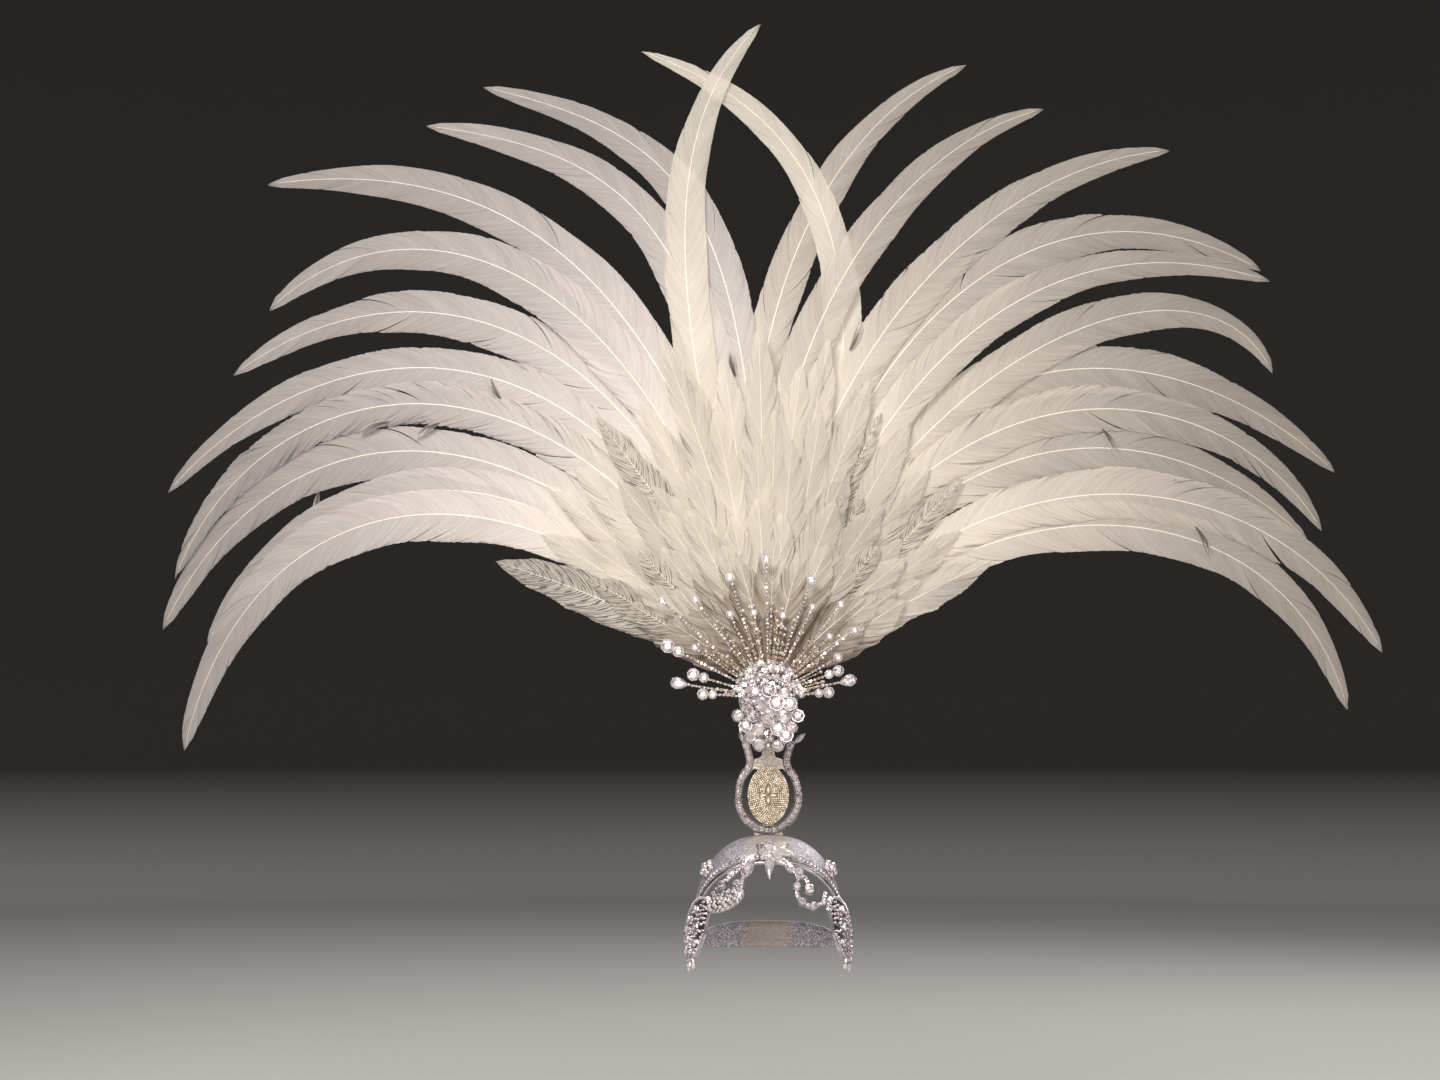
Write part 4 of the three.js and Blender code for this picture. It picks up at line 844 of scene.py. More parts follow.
def add_wing(name, node, bars, stones, paisley=None):
    parts = Parts()
    base = ARCH_THICK + GAP
    for bar in bars:
        origin, _, _, out = crown_frames(*crown_spot(*smooth_line(bar, 8).T), base)
        sweep(parts, origin, out, arch_section(WING_BAR_WIDTH, WING_BAR_THICK), METAL)
        spots, along = even(origin + out * WING_BAR_THICK, WING_STONE_STEP)
        outs = unit(read_line(out, np.linspace(0, 1, len(out)), np.linspace(0, 1, len(spots))))
        set_stones(parts, frames_along(spots, along, outs), WING_STONE, sunk=0.9, template=SMALL_GEM)
    for across, down, length, width, turn in stones:
        frames = turned(crown_frames(*crown_spot(across, down), base), turn)
        rise = LONG_STONE_RISE if length > width else ROUND_STONE_RISE
        set_stones(parts, frames, (length, width, rise))
    if paisley:
        add_paisley(parts, paisley, base)
    jewel_piece(name, parts, node)


def add_paisley(parts, paisley, base):
    """Domed oval plate, filled with stones in rings."""
    across, down, length, width, turn = paisley
    frames = turned(crown_frames(*crown_spot(across, down), base), turn)
    plate = moved(frames, 0, 0, PAISLEY_FOOT)
    place(parts, bead_template(24, 10), plate, (length, width, 2 * PAISLEY_DOME), METAL, smooth=True)
    for ring, (share, count, size) in enumerate(PAISLEY_RINGS):
        turns = 2 * np.pi * (np.arange(count) + ring / 2) / count
        x, y = share * length / 2 * np.cos(turns), share * width / 2 * np.sin(turns)
        height = PAISLEY_FOOT + PAISLEY_DOME * math.sqrt(1 - share ** 2) - 1.0
        many = [np.repeat(column, count, axis=0) for column in frames]
        set_stones(parts, moved(many, x, y, height), (size, size, 2.8), template=SMALL_GEM)


def add_flower():
    parts = Parts()
    base = ARCH_THICK + GAP + WING_BAR_THICK + GAP
    frames = rows_of(crown_frames(*crown_spot(0.0, FLOWER_DOWN), base))
    place(parts, bead_template(12, 6), moved(frames, 0, 0, -1), (6, 6, 6), METAL, smooth=True)
    frames = tipped(frames, FLOWER_FACE_TURN)
    place(parts, bead_template(20, 8), moved(frames, 0), (15, 15, 5), METAL, smooth=True)
    for turn, reach in FLOWER_PETALS:
        petal = moved(turned(frames, turn), reach / 2, 0, 1.6)
        place(parts, NAVETTE, petal, (reach - 1, 10.5, 4.4), CRYSTAL)
        place(parts, NAVETTE, moved(petal, 0, 0, -0.6), (reach + 1, 12, 2.6), METAL)
    set_stones(parts, moved(frames, 0, 0, 2.6), (12, 12, 5.6))
    jewel_piece("brow_flower_petals", parts, "brow_flower")


def navette_template():
    """Stone pointed at both ends."""
    points, faces = gem_template(12)
    points = points.copy()
    points[:, 1] *= 1 - 2.2 * points[:, 0] ** 2
    return points, faces


NAVETTE = navette_template()


def add_side_rosette(name, node, hand):
    parts = Parts()
    side = math.radians(SIDE_ROSETTE_SIDE if hand > 0 else 180 - SIDE_ROSETTE_SIDE)
    frames = rows_of(crown_frames(side, math.radians(SIDE_ROSETTE_TILT), BAND_THICK + GAP))
    for rise, width, height in ((1, 14, 2.4), (2, 11, 6)):
        dome = moved(frames, 0, 0, rise)
        place(parts, bead_template(16, 6), dome, (width, width, height), METAL, smooth=True)
    radius = SIDE_ROSETTE_RADIUS
    frames = tipped(moved(frames, 0, 0, 2), SIDE_ROSETTE_FACE_TURN)
    for petal in range(5):
        spot = moved(turned(frames, 90 + 72 * petal), radius * 0.55, 0, 1.4)
        place(parts, NAVETTE, spot, (radius, radius * 0.8, 3.6), CRYSTAL)
        place(parts, NAVETTE, moved(spot, 0, 0, -0.5), (radius + 1.4, radius * 0.94, 2.2), METAL)
    set_stones(parts, moved(frames, 0, 0, 1.8), (7, 7, 4.2))
    jewel_piece(name, parts, node)


def fill_flap(along, top, low):
    """Places for small stones between the larger ones: along and down."""
    draw = np.random.default_rng(SEED + 50)
    big = np.array(FLAP_STONES)
    scale = np.array([HEAD_HALF_DEPTH, CROWN_DEPTH])
    filled = []
    for _ in range(FLAP_FILL_TRIES):
        spot = draw.uniform((along[0], 0.5), (along[-1], 1.12))
        upper, lower = np.interp(spot[0], along, top), np.interp(spot[0], along, low)
        if not upper + FLAP_FILL_MARGIN < spot[1] < lower - FLAP_FILL_MARGIN:
            continue
        if np.any(np.hypot(*((big[:, :2] - spot) * scale).T) < big[:, 2] + FLAP_FILL_GAP):
            continue
        if filled and np.min(np.hypot(*((np.array(filled) - spot) * scale).T)) < FLAP_FILL_STEP:
            continue
        filled.append(spot)
    return np.array(filled).T


def add_flap(name, node, hand):
    parts = Parts()
    along, top, low = np.array(FLAP_OUTLINE).T
    steps, rows = 60, 24
    where = np.linspace(along[0], along[-1], steps)
    edges = [np.interp(where, along, edge) for edge in (top, low)]
    share = np.linspace(0, 1, rows)[None]
    down = edges[0][:, None] * (1 - share) + edges[1][:, None] * share
    rise = FLAP_INNER_RISE + FLAP_THICK
    outer, inner = (flap_point(hand, where[:, None], down, level) for level in (rise, FLAP_INNER_RISE))
    section = np.concatenate([outer, inner[:, ::-1]], axis=1)
    count = 2 * rows
    caps = [np.arange(count)[None], np.arange(count)[None, ::-1] + (steps - 1) * count]
    flip = slice(None, None, 1 if hand > 0 else -1)
    parts.add(section, [grid_faces(steps, count, closed=True)[:, flip]], METAL)
    parts.add(section, [cap[:, flip] for cap in caps], METAL)
    for edge, inset in zip(edges, (FLAP_EDGE_INSET, -FLAP_EDGE_INSET)):
        edge = edge + inset
        line = flap_point(hand, where, edge, rise)
        spots = spread(line, where, int(distance_along(line)[-1] / FLAP_EDGE_STEP))
        frames = flap_frames(hand, spots, np.interp(spots, where, edge), rise)
        set_stones(parts, frames, FLAP_EDGE_STONE, sunk=0.5, template=SMALL_GEM)
    for stone_along, stone_down, radius in FLAP_STONES:
        frames = flap_frames(hand, stone_along, stone_down, rise)
        set_stones(parts, frames, (2 * radius, 2 * radius, 4.2), sunk=0.4)
    frames = flap_frames(hand, *fill_flap(along, top, low), rise)
    set_stones(parts, frames, FLAP_FILL_STONE, sunk=0.4, template=SMALL_GEM)
    for drop_along, drop_down in FLAP_DROPS:
        frames = turned(flap_frames(hand, drop_along, drop_down, FLAP_INNER_RISE + 0.5), -90)
        place(parts, DROP_GEM, frames, (FLAP_DROP_LENGTH, FLAP_DROP_WIDTH, 4), CRYSTAL)
    jewel_piece(name, parts, node)


# Stem

def oval_point(turn, half_width, half_height):
    return np.stack([half_width * np.cos(turn), RING_CENTRE_HEIGHT + half_height * np.sin(turn)], axis=-1)


def add_lyre():
    parts = Parts()
    half = LYRE_BAR / 2
    rim = [(half, 0), (half, LYRE_FLOOR), (half - LYRE_RIM_WIDTH / 2, LYRE_RIM),
           (half - LYRE_RIM_WIDTH, LYRE_FLOOR)]
    section = [(-across, up) for across, up in rim] + rim[::-1]
    ring = oval_point(np.radians(np.linspace(LYRE_LOW_TURN, LYRE_HIGH_TURN, 11)),
                      RING_HALF_WIDTH, RING_HALF_HEIGHT)
    arm = [[LYRE_WAIST_HALF_WIDTH, RING_CENTRE_HEIGHT + RING_HALF_HEIGHT],
           [LYRE_TOP_HALF_WIDTH, LYRE_TOP_HEIGHT]]
    line = smooth_line(np.concatenate([ring, arm]), 8)
    for hand in (-1, 1):
        path = np.stack([hand * line[:, 0], np.full(len(line), -GAP), line[:, 1]], axis=1)
        sweep(parts, path, facing(path), section, METAL, smooth=False)
        spots, along = even(path, LYRE_STONE_STEP)
        spots = spots + np.array([0, -LYRE_STONE_RISE, 0])
        set_stones(parts, frames_along(spots, along, facing(spots)), LYRE_STONE)
        pits = front_frames((spots[1:] + spots[:-1]) / 2 + np.array([0, -LYRE_PIT_RISE, 0]))
        for shift in (-LYRE_PIT_SIDE, LYRE_PIT_SIDE):
            place(parts, BEAD, moved(pits, shift), LYRE_PIT, WIRE, smooth=True)
        set_stones(parts, moved(front_frames(path[-1:]), 0, 0, LYRE_STONE_RISE), LYRE_TOP_STONE)
    jewel_piece("lyre_stones", parts, "lyre_frame")


def add_leaf(name, node, hand, lean):
    parts = Parts()
    foot = [[hand * (LYRE_TOP_HALF_WIDTH + LYRE_BAR / 4), -GAP, LYRE_TOP_HEIGHT + GAP]]
    frames = turned(front_frames(foot), lean)
    place(parts, NAVETTE, moved(frames, LEAF_LENGTH / 2), (LEAF_LENGTH, LEAF_WIDTH, 2.4), METAL)
    for share, size in ((0.3, 3.4), (0.52, 3.8), (0.74, 3.0)):
        set_stones(parts, moved(frames, LEAF_LENGTH * share, 0, 2.0), (size, size, 1.8), template=SMALL_GEM)
    jewel_piece(name, parts, node)


def add_medallion_beads():
    """Seed beads in oval rings over the medallion, which keeps its solid."""
    draw = np.random.default_rng(SEED + 60)
    parts = Parts()
    front = -GAP - MEDALLION_THICK
    inset = BEAD_RADIUS * 0.8
    while MEDALLION_HALF_WIDTH - inset > 3.4:
        half_width, half_height = MEDALLION_HALF_WIDTH - inset, MEDALLION_HALF_HEIGHT - inset
        turns = np.linspace(0, 2 * np.pi, 181)
        line = oval_point(turns, half_width, half_height)
        line = np.stack([line[:, 0], np.zeros(181), line[:, 1]], axis=1)
        spots, _ = even(line, 2 * BEAD_RADIUS)
        share = half_width / MEDALLION_HALF_WIDTH
        spots[:, 1] = front - 0.4 - 2.2 * (1 - share ** 2) + draw.normal(0, 0.12, len(spots))
        away = np.hypot(spots[:, 0], spots[:, 2] - RING_CENTRE_HEIGHT)
        turn = np.arctan2(spots[:, 2] - RING_CENTRE_HEIGHT, spots[:, 0])
        petal = (away < 11) & (np.abs(np.sin(2 * turn)) < 0.5)
        spots = spots[~petal & (away > 3)]
        sizes = (2 * BEAD_RADIUS * draw.uniform(0.9, 1.08, (len(spots), 1))) * np.ones(3)
        place(parts, BEAD, front_frames(spots), sizes, 0, smooth=True)
        inset += 1.8 * BEAD_RADIUS
    for turn in range(0, 360, 90):
        foot = turned(front_frames([[0, front - 2.2, RING_CENTRE_HEIGHT]]), turn)
        place(parts, NAVETTE, moved(foot, 6.0), (7, 3.4, 2.4), 0, tones=[0.85])
    piece = make_piece("medallion_beads", parts, [LOOKS["bead"], LOOKS["crystal"]])


def add_rosette():
    parts = Parts()
    middle = HUB_HEIGHT - ROSETTE_DROP
    front = ROSETTE_BACK - ROSETTE_PLATE_THICK
    plate = front_frames([[0, ROSETTE_BACK - ROSETTE_PLATE_THICK / 2, middle]])
    size = (2.06 * ROSETTE_PLATE_HALF_WIDTH, 2.06 * ROSETTE_PLATE_HALF_HEIGHT, 2 * ROSETTE_PLATE_THICK)
    place(parts, bead_template(36, 10), plate, size, METAL, smooth=True)
    stones = np.array(ROSETTE_STONES)
    spots = np.stack([stones[:, 0] * ROSETTE_HALF_SIZE, np.full(len(stones), front),
                      middle + stones[:, 1] * ROSETTE_HALF_SIZE], axis=1)
    width = 2 * stones[:, 2] * ROSETTE_HALF_SIZE
    rise = ROSETTE_STONE_RISE + stones[:, 2] * ROSETTE_HALF_SIZE
    sizes = np.stack([width, width, rise * 0.55], axis=1)
    posts = np.stack([width * 0.55, width * 0.55, rise * 0.9], axis=1)
    place(parts, bead_template(8, 4), front_frames(spots), posts, METAL, smooth=True)
    draw = np.random.default_rng(SEED + 70)
    set_stones(parts, leaning(moved(front_frames(spots), 0, 0, rise * 0.42), draw, 0.25), sizes)
    filled = []
    for _ in range(1500):
        spot = draw.uniform(-1, 1, 2)
        if np.hypot(spot[0] / 0.82, (spot[1] + 0.05) / 0.98) > 1:
            continue
        if np.any(np.hypot(*(stones[:, :2] - spot).T) < stones[:, 2] * 0.9 + 0.02):
            continue
        if filled and np.min(np.hypot(*(np.array(filled) - spot).T)) < 0.105:
            continue
        filled.append(spot)
    filled = np.array(filled) * ROSETTE_HALF_SIZE
    rises = draw.uniform(3, 9, len(filled))
    spots = np.stack([filled[:, 0], front - rises, middle + filled[:, 1]], axis=1)
    set_stones(parts, leaning(front_frames(spots), draw, 0.5), (4.6, 4.6, 3))
    jewel_piece("rosette_stones", parts, "crystal_rosette")


def add_sprays():
    middle = ROSETTE_BACK - ROSETTE_PLATE_THICK / 2
    for number, (node, (start, end, wires)) in enumerate(SPRAY_ROWS.items()):
        draw = np.random.default_rng(SEED + 80 + number)
        parts = Parts()
        turns = np.radians(np.linspace(start, end, 30))
        arc = np.stack([SPRAY_BAR_RADIUS * np.cos(turns), np.full(30, ROSETTE_BACK),
                        HUB_HEIGHT + SPRAY_BAR_RADIUS * np.sin(turns)], axis=1)
        sweep(parts, arc, facing(arc), arch_section(SPRAY_BAR_WIDTH, ROSETTE_PLATE_THICK), METAL)
        add_spray_root(parts, draw, start, end)
        for turn, reach, size, drop in wires:
            add_spray_wire(parts, middle, turn, reach, size, drop, SPRAY_WIRE, draw)
        for _ in range(THIN_WIRES):
            turn, reach = draw.uniform(start + 1, end - 1), draw.uniform(0.32, 0.66)
            if abs(turn - 90) > LOW_WIRE_TURN:
                reach *= LOW_WIRE_SHARE
            depth = middle + draw.uniform(-2, 4)
            add_spray_wire(parts, depth, turn, reach, THIN_WIRE_END, 0, THIN_SPRAY_WIRE, draw)
        jewel_piece(f"{node}_stones", parts, node)


def add_spray_root(parts, draw, start, end):
    """Stones piled over the roots of the wires."""
    count = int((end - start) * 1.1)
    turns = np.radians(draw.uniform(start, end, count))
    radii = draw.uniform(-9, 9, count)
    rises = 4 + (1 - np.abs(radii) / 9) * draw.uniform(2, 7, count)
    radii += SPRAY_BAR_RADIUS
    x, z = radii * np.cos(turns), HUB_HEIGHT + radii * np.sin(turns)
    spots = np.stack([x, ROSETTE_BACK - rises, z], axis=1)
    sizes = draw.uniform(3.6, 6.4, (count, 1)) * np.array([[1, 1, 0.62]])
    set_stones(parts, leaning(front_frames(spots), draw, 0.5), sizes, template=ROUND_GEM)


def add_spray_wire(parts, middle, turn, reach, size, drop, wire, draw):
    """Two strands wound round each other with small stones along them, and a stone or drop at the end."""
    share = np.linspace(0, 1, 40)
    radius = SPRAY_BAR_RADIUS + (reach * SPRAY_REACH - SPRAY_BAR_RADIUS) * share
    away = direction(turn)
    forward = middle - SPRAY_FORWARD * share * reach
    line = np.stack([radius * away[0], forward, HUB_HEIGHT + radius * away[1]], axis=1)
    outs = facing(line)
    side = unit(np.cross(np.gradient(line, axis=0), outs))
    for start in (0, np.pi):
        wind = start + radius * 0.55
        strand = line + wire * 0.42 * (side * np.cos(wind)[:, None] + outs * np.sin(wind)[:, None])
        sweep(parts, strand, outs, round_section(wire * 0.8, wire * 0.8, 5), WIRE)
    spots, along = even(line[3:-2], SPRAY_STONE_STEP if wire == SPRAY_WIRE else THIN_STONE_STEP)
    stone = wire * 1.9
    frames = leaning(frames_along(spots, along, facing(spots)), draw, 0.35)
    set_stones(parts, frames, (stone, stone, stone * 0.7), sunk=-0.3, template=SMALL_GEM)
    width = size * SPRAY_STONE_WIDTH
    tip = turned(moved(front_frames(line[-1:]), 0, 0, -1.5), turn)
    if drop:
        place(parts, DROP_GEM, tip, (1.6 * width, width, 5.4), CRYSTAL)
        place(parts, DROP_GEM, moved(tip, 0, 0, -0.5), (1.72 * width, 1.14 * width, 3), METAL)
    else:
        set_stones(parts, tip, (width, width, width * 0.45))
        if size >= TWIN_FROM:
            set_stones(parts, moved(tip, -0.95 * width), (0.8 * width, 0.8 * width, 0.4 * width))


# Materials

class Nodes:
    """Node tree of one material, built call by call."""

    def __init__(self, name):
        self.material = bpy.data.materials.new(name)
        self.material.use_nodes = True
        self.tree = self.material.node_tree
        self.tree.nodes.clear()

    def add(self, kind, inputs=None, output=0, **settings):
        node = self.tree.nodes.new("ShaderNode" + kind)
        for key, value in settings.items():
            setattr(node, key, value)
        for key, value in (inputs or {}).items():
            if isinstance(value, bpy.types.NodeSocket):
                self.tree.links.new(value, node.inputs[key])
            else:
                node.inputs[key].default_value = value
        return node.outputs[output] if node.outputs else None

    def spot(self):
        """Place on the piece, in metres."""
        return self.add("TexCoord", output=3)

    def split(self, vector):
        """The three numbers of a vector."""
        return self.add("SeparateXYZ", {0: vector}).node.outputs

    def math(self, operation, *values):
        return self.add("Math", dict(enumerate(values)), operation=operation)

    def noise(self, vector, scale, detail=2.0, roughness=0.5):
        return self.add("TexNoise", {"Vector": vector, "Scale": scale, "Detail": detail,
                                     "Roughness": roughness})

    def flakes(self, scale):
        """A random number for each small cell of the piece."""
        return self.split(self.add("TexVoronoi", {"Vector": self.spot(), "Scale": scale}, output=1))[0]

    def span(self, value, start, end, low=0.0, high=1.0):
        """low where the value is at start or before it, and high at end or after it."""
        return self.add("MapRange", {"Value": value, "From Min": start, "From Max": end,
                                     "To Min": low, "To Max": high})

    def grey(self, value):
        return self.add("CombineXYZ", {0: value, 1: value, 2: value})

    def bump(self, height, strength, distance):
        return self.add("Bump", {"Height": height, "Strength": strength, "Distance": distance})

    def ramp(self, factor, stops):
        socket = self.add("ValToRGB", {"Fac": factor})
        ramp = socket.node.color_ramp
        while len(ramp.elements) < len(stops):
            ramp.elements.new(0.5)
        for element, (position, colour) in zip(ramp.elements, stops):
            element.position = position
            element.color = (*colour, 1)
        return socket

    def mix(self, factor, first, second, blend="MIX"):
        node = self.tree.nodes.new("ShaderNodeMix")
        node.data_type, node.blend_type = "RGBA", blend
        for index, value in ((0, factor), (6, first), (7, second)):
            if isinstance(value, bpy.types.NodeSocket):
                self.tree.links.new(value, node.inputs[index])
            else:
                node.inputs[index].default_value = value if index == 0 else (*value, 1)
        return node.outputs[2]

    def finish(self, surface):
        self.add("OutputMaterial", {"Surface": surface})
        return self.material

    def shine(self, colour, **more):
        """Finished material of one shader: its colour, and its numbers by name."""
        inputs = {key.replace("_", " ").title(): value for key, value in more.items()}
        return self.finish(self.add("BsdfPrincipled", {"Base Color": colour, **inputs}))


def feather_look(name, tint, shadow, tip_shade, barred):
    """Thin vane that lets light through, streaked along its barbs, with painted shade towards its tip, where
    locks part and at its foot.
    """
    nodes = Nodes(name)
    along, across = nodes.split(nodes.add("UVMap", uv_map="barb"))[:2]
    lock, share = nodes.split(nodes.add("UVMap", uv_map="lock"))[:2]
    streak = nodes.add("CombineXYZ", {0: along, 1: nodes.math("MULTIPLY", across, 2.5)})
    fine = nodes.noise(streak, 0.9, roughness=0.6)
    middle = nodes.noise(streak, 0.22)
    broad = nodes.noise(streak, 0.03)
    mixed = nodes.math("ADD", nodes.math("MULTIPLY", fine, 0.55), nodes.math("MULTIPLY", middle, 0.45))
    colour = nodes.ramp(mixed, [(0.26, shadow), (0.60, tint)])
    # Each lock's tone, times painted shade where locks part, wherever the tone falls below zero.
    tone = nodes.math("MULTIPLY", nodes.span(lock, 0.0, 1.0, 0.84, 1.04),
                      nodes.span(lock, -0.8, 0.0, 0.62, 1.0))
    tone = nodes.math("MULTIPLY", tone, nodes.math("MULTIPLY_ADD", broad, 0.34, 0.82))
    colour = nodes.mix(1.0, colour, nodes.grey(tone), "MULTIPLY")
    # Painted shade: darker towards the tip.
    colour = nodes.mix(1.0, colour, nodes.grey(nodes.span(share, 0.30, 0.85, 1.0, tip_shade)), "MULTIPLY")
    colour = nodes.mix(nodes.span(share, 0.05, 0.55, 0.6, 0.0), colour, BASE_COLOUR)
    # Painted shade at the foot of each feather near the holder: dark brown up to a ragged reach from its
    # root.
    reached = nodes.math("ADD", along, nodes.math("MULTIPLY_ADD", middle, 180.0, -90.0))
    colour = nodes.mix(nodes.span(reached, 20.0, 125.0, 0.92, 0.0), colour, FOOT_SHADE_COLOUR)
    if barred:
        wander = nodes.noise(streak, 0.12, detail=3.0)
        slant = nodes.math("MULTIPLY", nodes.math("ABSOLUTE", across), 10.0)
        phase = nodes.math("ADD", nodes.math("MULTIPLY_ADD", along, 1.3, slant),
                           nodes.math("MULTIPLY", wander, 16.0))
        bars = nodes.span(nodes.math("SINE", phase), 0.25, 0.8)
        colour = nodes.mix(nodes.math("MULTIPLY", bars, 0.88), colour, BAR_COLOUR)
    bump = nodes.bump(mixed, 0.35, 0.0010)
    front = nodes.add("BsdfPrincipled", {"Base Color": colour, "Roughness": 0.6, "Specular IOR Level": 0.35,
                                         "Sheen Weight": 0.2, "Normal": bump})
    through = nodes.add("BsdfTranslucent", {"Color": colour, "Normal": bump})
    vane = nodes.add("MixShader", {0: 0.34, 1: front, 2: through})
    thin = nodes.span(share, 0.25, 0.75, 0.05, 0.30)
    return nodes.finish(nodes.add("MixShader", {0: thin, 1: vane, 2: nodes.add("BsdfTransparent")}))


def quill_look():
    nodes = Nodes("quill")
    grain = nodes.noise(nodes.spot(), 220.0)
    colour = nodes.ramp(grain, [(0.3, (0.86, 0.80, 0.70)), (0.7, (0.96, 0.92, 0.85))])
    return nodes.shine(colour, roughness=0.32)


def crystal_look():
    """Foil-backed stone whose colour holds painted reflections: small dark, lilac and pale flecks, and each
    stone a little brighter or darker than the next.
    """
    nodes = Nodes("crystal")
    stone = nodes.split(nodes.add("UVMap", uv_map="lock"))[0]
    # Painted reflections of the facets: flecks from near black to pale, mixed with each stone's tone.
    mixed = nodes.math("ADD", nodes.math("MULTIPLY", nodes.flakes(620.0), 0.6),
                       nodes.math("MULTIPLY", stone, 0.4))
    colour = nodes.ramp(mixed, [(0.08, (0.12, 0.09, 0.11)), (0.20, (0.52, 0.46, 0.52)),
                                (0.42, (0.74, 0.68, 0.70)), (0.80, (0.94, 0.88, 0.87))])
    return nodes.finish(nodes.add("BsdfPrincipled", {
        "Base Color": colour, "Metallic": 0.6, "Roughness": 0.13, "IOR": 1.6,
        "Coat Weight": 1.0, "Coat Roughness": 0.02}))


def champagne_look():
    """Pale champagne metal with a fine glitter grain."""
    nodes = Nodes("champagne")
    shade = nodes.flakes(700.0)
    colour = nodes.ramp(shade, [(0.1, (0.46, 0.40, 0.34)), (0.6, (0.72, 0.66, 0.58)),
                                (0.95, (0.92, 0.87, 0.80))])
    return nodes.shine(colour, metallic=0.6, roughness=0.38, normal=nodes.bump(shade, 0.4, 0.0005))


def wire_look():
    """Champagne-gold wire, browner in patches of painted shade, dark as the shadow between its twisted
    strands.
    """
    nodes = Nodes("wire")
    mottle = nodes.noise(nodes.spot(), 150.0, detail=3.0)
    # Painted shade: dark brown patches along the wire.
    colour = nodes.ramp(mottle, [(0.35, (0.26, 0.18, 0.11)), (0.65, (0.68, 0.53, 0.37))])
    return nodes.shine(colour, metallic=0.9, roughness=0.3)


def silver_look():
    nodes = Nodes("silver")
    mottle = nodes.noise(nodes.spot(), 120.0, detail=4.0)
    colour = nodes.ramp(mottle, [(0.3, (0.34, 0.31, 0.34)), (0.7, (0.68, 0.64, 0.67))])
    return nodes.shine(colour, metallic=1.0, roughness=nodes.span(mottle, 0.0, 1.0, 0.18, 0.42))


def glitter_look():
    """Lilac-grey glitter of small flakes, with a smoother beige patch at the top of the crown's front."""
    nodes = Nodes("glitter")
    shade = nodes.flakes(950.0)
    colour = nodes.ramp(shade, [(0.1, (0.22, 0.20, 0.24)), (0.5, (0.40, 0.37, 0.42)),
                                (0.80, (0.60, 0.56, 0.62)), (0.95, (0.98, 0.95, 0.98))])
    apart = nodes.math("ABSOLUTE", nodes.split(nodes.spot())[0])
    colour = nodes.mix(nodes.span(apart, 0.016, 0.034, 0.8, 0.0), colour, PATCH_COLOUR)
    return nodes.shine(colour, metallic=0.55, roughness=0.5, normal=nodes.bump(shade, 0.8, 0.0008))


def bead_look():
    nodes = Nodes("bead")
    tone = nodes.split(nodes.add("UVMap", uv_map="lock"))[0]
    colour = nodes.ramp(tone, [(0.05, (0.44, 0.35, 0.25)), (0.3, (0.66, 0.56, 0.43)),
                               (0.6, (0.84, 0.74, 0.60)), (0.95, (1.0, 0.95, 0.86))])
    return nodes.shine(colour, roughness=0.22, metallic=0.25, coat_weight=0.6)


# Feather colours: the tint, the shade between its barbs, and how bright its tip stays under painted shade.
FEATHER_TINTS = {
    "cream": ((0.97, 0.92, 0.83), (0.76, 0.70, 0.61), 0.86),
    "lilac": ((0.86, 0.81, 0.80), (0.62, 0.56, 0.56), 0.66),
    "pale": ((0.93, 0.87, 0.80), (0.70, 0.64, 0.58), 0.84),
    "beige": ((0.84, 0.78, 0.72), (0.60, 0.54, 0.48), 0.66),
    "barred": ((0.92, 0.88, 0.80), (0.74, 0.68, 0.60), 0.86),
}
LOOKS = {f"feather_{name}": feather_look(f"feather_{name}", *row, barred=name == "barred")
         for name, row in FEATHER_TINTS.items()}
LOOKS.update(champagne=champagne_look(), wire=wire_look(), quill=quill_look(), crystal=crystal_look(),
             silver=silver_look(), glitter=glitter_look(), bead=bead_look())


def dress_kept_nodes():
    """Better materials for the solids that stay."""
    for node, look in (("stem_plate", "champagne"), ("feather_holder", "silver"), ("medallion", "bead")):
        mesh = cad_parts[node].data
        mesh.materials.clear()
        mesh.materials.append(LOOKS[look])


# Studio

def studio_look():
    """Pale floor that turns to a plain grey wall."""
    nodes = Nodes("studio")
    height = nodes.split(nodes.spot())[2]
    share = nodes.span(height, FLOOR_HEIGHT, FLOOR_HEIGHT + 0.4)
    colour = nodes.ramp(share, [(0.02, FLOOR_COLOUR), (1.0, WALL_COLOUR)])
    return nodes.shine(colour, roughness=0.9)


def add_studio():
    turns = np.linspace(0, 2 * np.pi, 96, endpoint=False)
    bend = 0.9
    flat = STUDIO_RADIUS - bend
    profile = [(0.01, 0), (flat / 2, 0), (flat, 0)]
    profile += [(flat + bend * math.sin(turn), bend * (1 - math.cos(turn)))
                for turn in np.linspace(0.2, np.pi / 2, 8)]
    profile += [(STUDIO_RADIUS, 2.5), (STUDIO_RADIUS, 6.5)]
    rings = [[(radius * math.cos(turn), radius * math.sin(turn), FLOOR_HEIGHT + height) for turn in turns]
             for radius, height in profile]
    faces = grid_faces(len(profile), len(turns), closed=True).tolist() + [list(range(len(turns)))[::-1]]
    mesh = bpy.data.meshes.new("studio")
    mesh.from_pydata([point for ring in rings for point in ring], [], faces)
    mesh.materials.append(studio_look())
    mesh.polygons.foreach_set("use_smooth", [True] * len(mesh.polygons))
    studio = bpy.data.objects.new("studio", mesh)
    bpy.context.scene.collection.objects.link(studio)


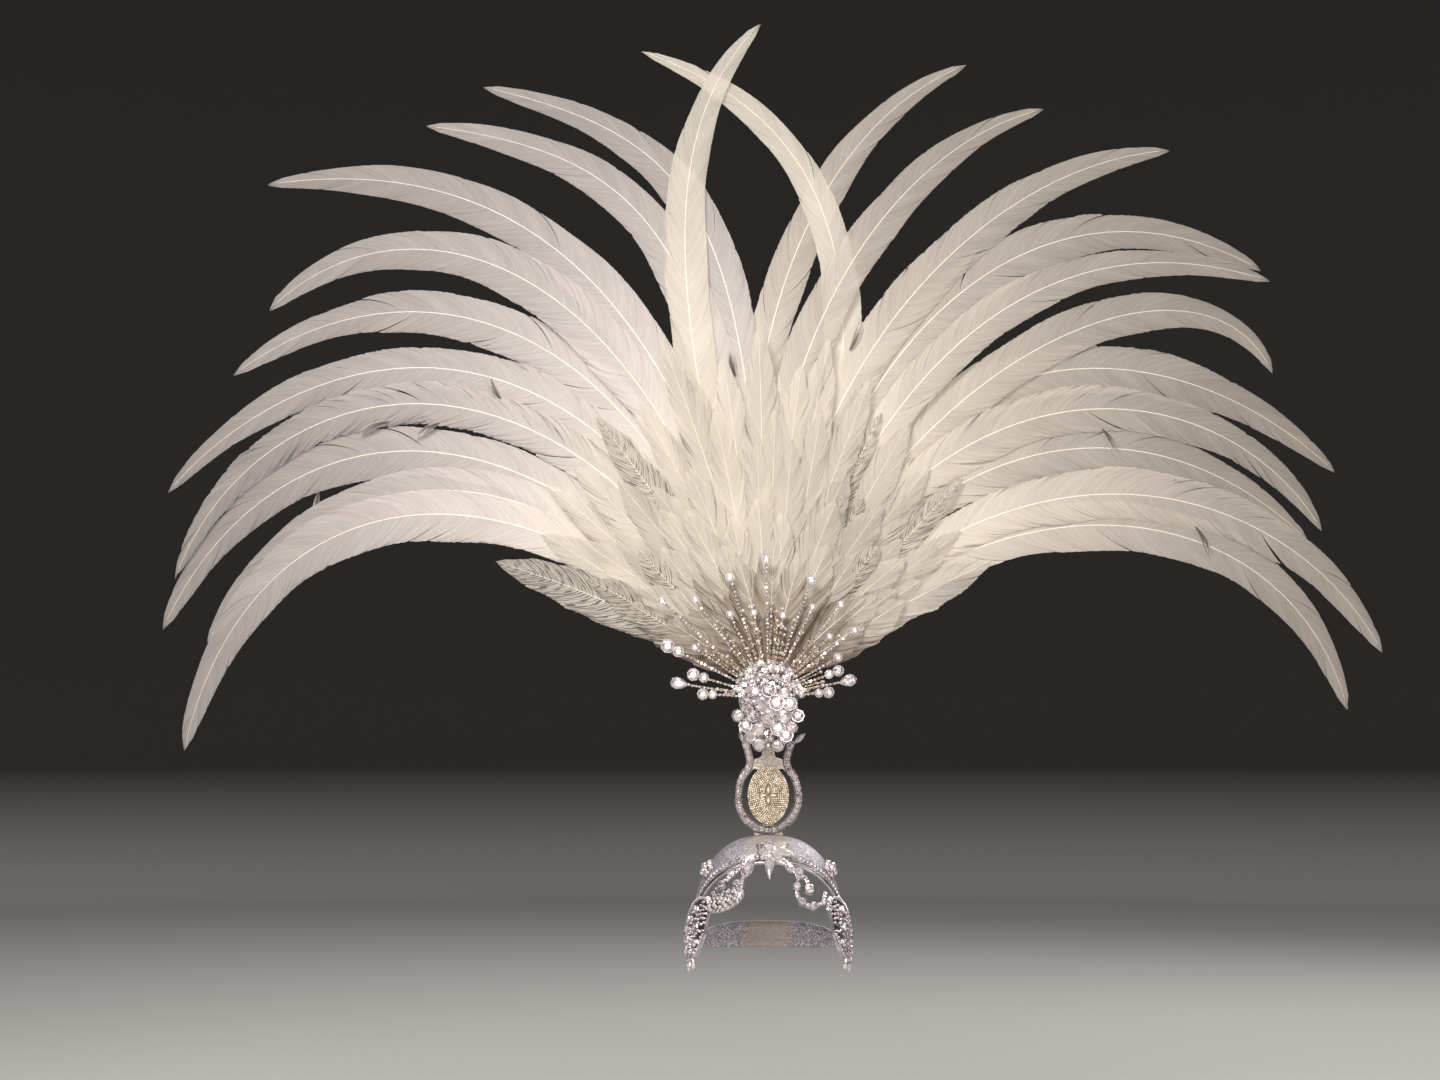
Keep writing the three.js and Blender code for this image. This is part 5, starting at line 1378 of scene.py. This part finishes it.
# Lights: place, size, power, colour. Each faces the headdress.
LIGHTS = {
    "key": ((-0.7, -2.0, 1.5), 0.9, 58, (1.0, 0.94, 0.86)),
    "fill": ((2.2, -2.4, 0.7), 1.6, 26, (1.0, 0.92, 0.85)),
    "ceiling": ((0.1, 0.6, 4.2), 4.5, 120, (1.0, 0.97, 0.93)),
    "near": ((-0.1, -1.3, 0.6), 1.0, 5, (1.0, 0.94, 0.88)),
    "rim": ((1.9, 3.0, 2.2), 1.6, 40, (1.0, 0.97, 0.95)),
}


def add_lights():
    target = Vector((0, 0, 0.42))
    for name, (spot, size, power, colour) in LIGHTS.items():
        lamp = bpy.data.lights.new(name, "AREA")
        lamp.shape, lamp.size = "DISK", size
        lamp.energy, lamp.color = power, colour
        light = bpy.data.objects.new(name, lamp)
        light.location = spot
        light.visible_camera = False
        light.rotation_euler = (target - Vector(spot)).to_track_quat("-Z", "Y").to_euler()
        bpy.context.scene.collection.objects.link(light)
    world = bpy.data.worlds.new("studio")
    world.use_nodes = True
    world.node_tree.nodes["Background"].inputs[0].default_value = (0.9, 0.92, 1.0, 1)
    world.node_tree.nodes["Background"].inputs[1].default_value = 0.25
    bpy.context.scene.world = world


def add_camera():
    lens = bpy.data.cameras.new("camera")
    lens.lens, lens.sensor_width = CAMERA_LENS, 36
    camera = bpy.data.objects.new("camera", lens)
    camera.location = CAMERA_PLACE
    pitch = math.atan2(CAMERA_AIM_HEIGHT - CAMERA_PLACE[2], -CAMERA_PLACE[1])
    camera.rotation_euler = (math.pi / 2 + pitch, 0, 0)
    bpy.context.scene.collection.objects.link(camera)
    bpy.context.scene.camera = camera


bpy.context.scene.view_settings.view_transform = "Standard"
add_camera()
add_studio()
add_lights()
dress_kept_nodes()
add_crown()
add_wing("brow_wing_left_stones", "brow_wing_left", LEFT_WING_BARS, LEFT_WING_STONES, LEFT_PAISLEY)
add_wing("brow_wing_right_stones", "brow_wing_right", RIGHT_WING_BARS, RIGHT_WING_STONES)
add_flower()
add_side_rosette("side_rosette_left_petals", "side_rosette_left", -1)
add_side_rosette("side_rosette_right_petals", "side_rosette_right", 1)
add_flap("ear_flap_left_stones", "ear_flap_left", -1)
add_flap("ear_flap_right_stones", "ear_flap_right", 1)
add_lyre()
add_leaf("leaf_left_stones", "leaf_tip_left", -1, LEFT_LEAF_LEAN)
add_leaf("leaf_right_stones", "leaf_tip_right", 1, RIGHT_LEAF_LEAN)
add_medallion_beads()
add_rosette()
add_sprays()
add_long_feathers()
add_plumes()
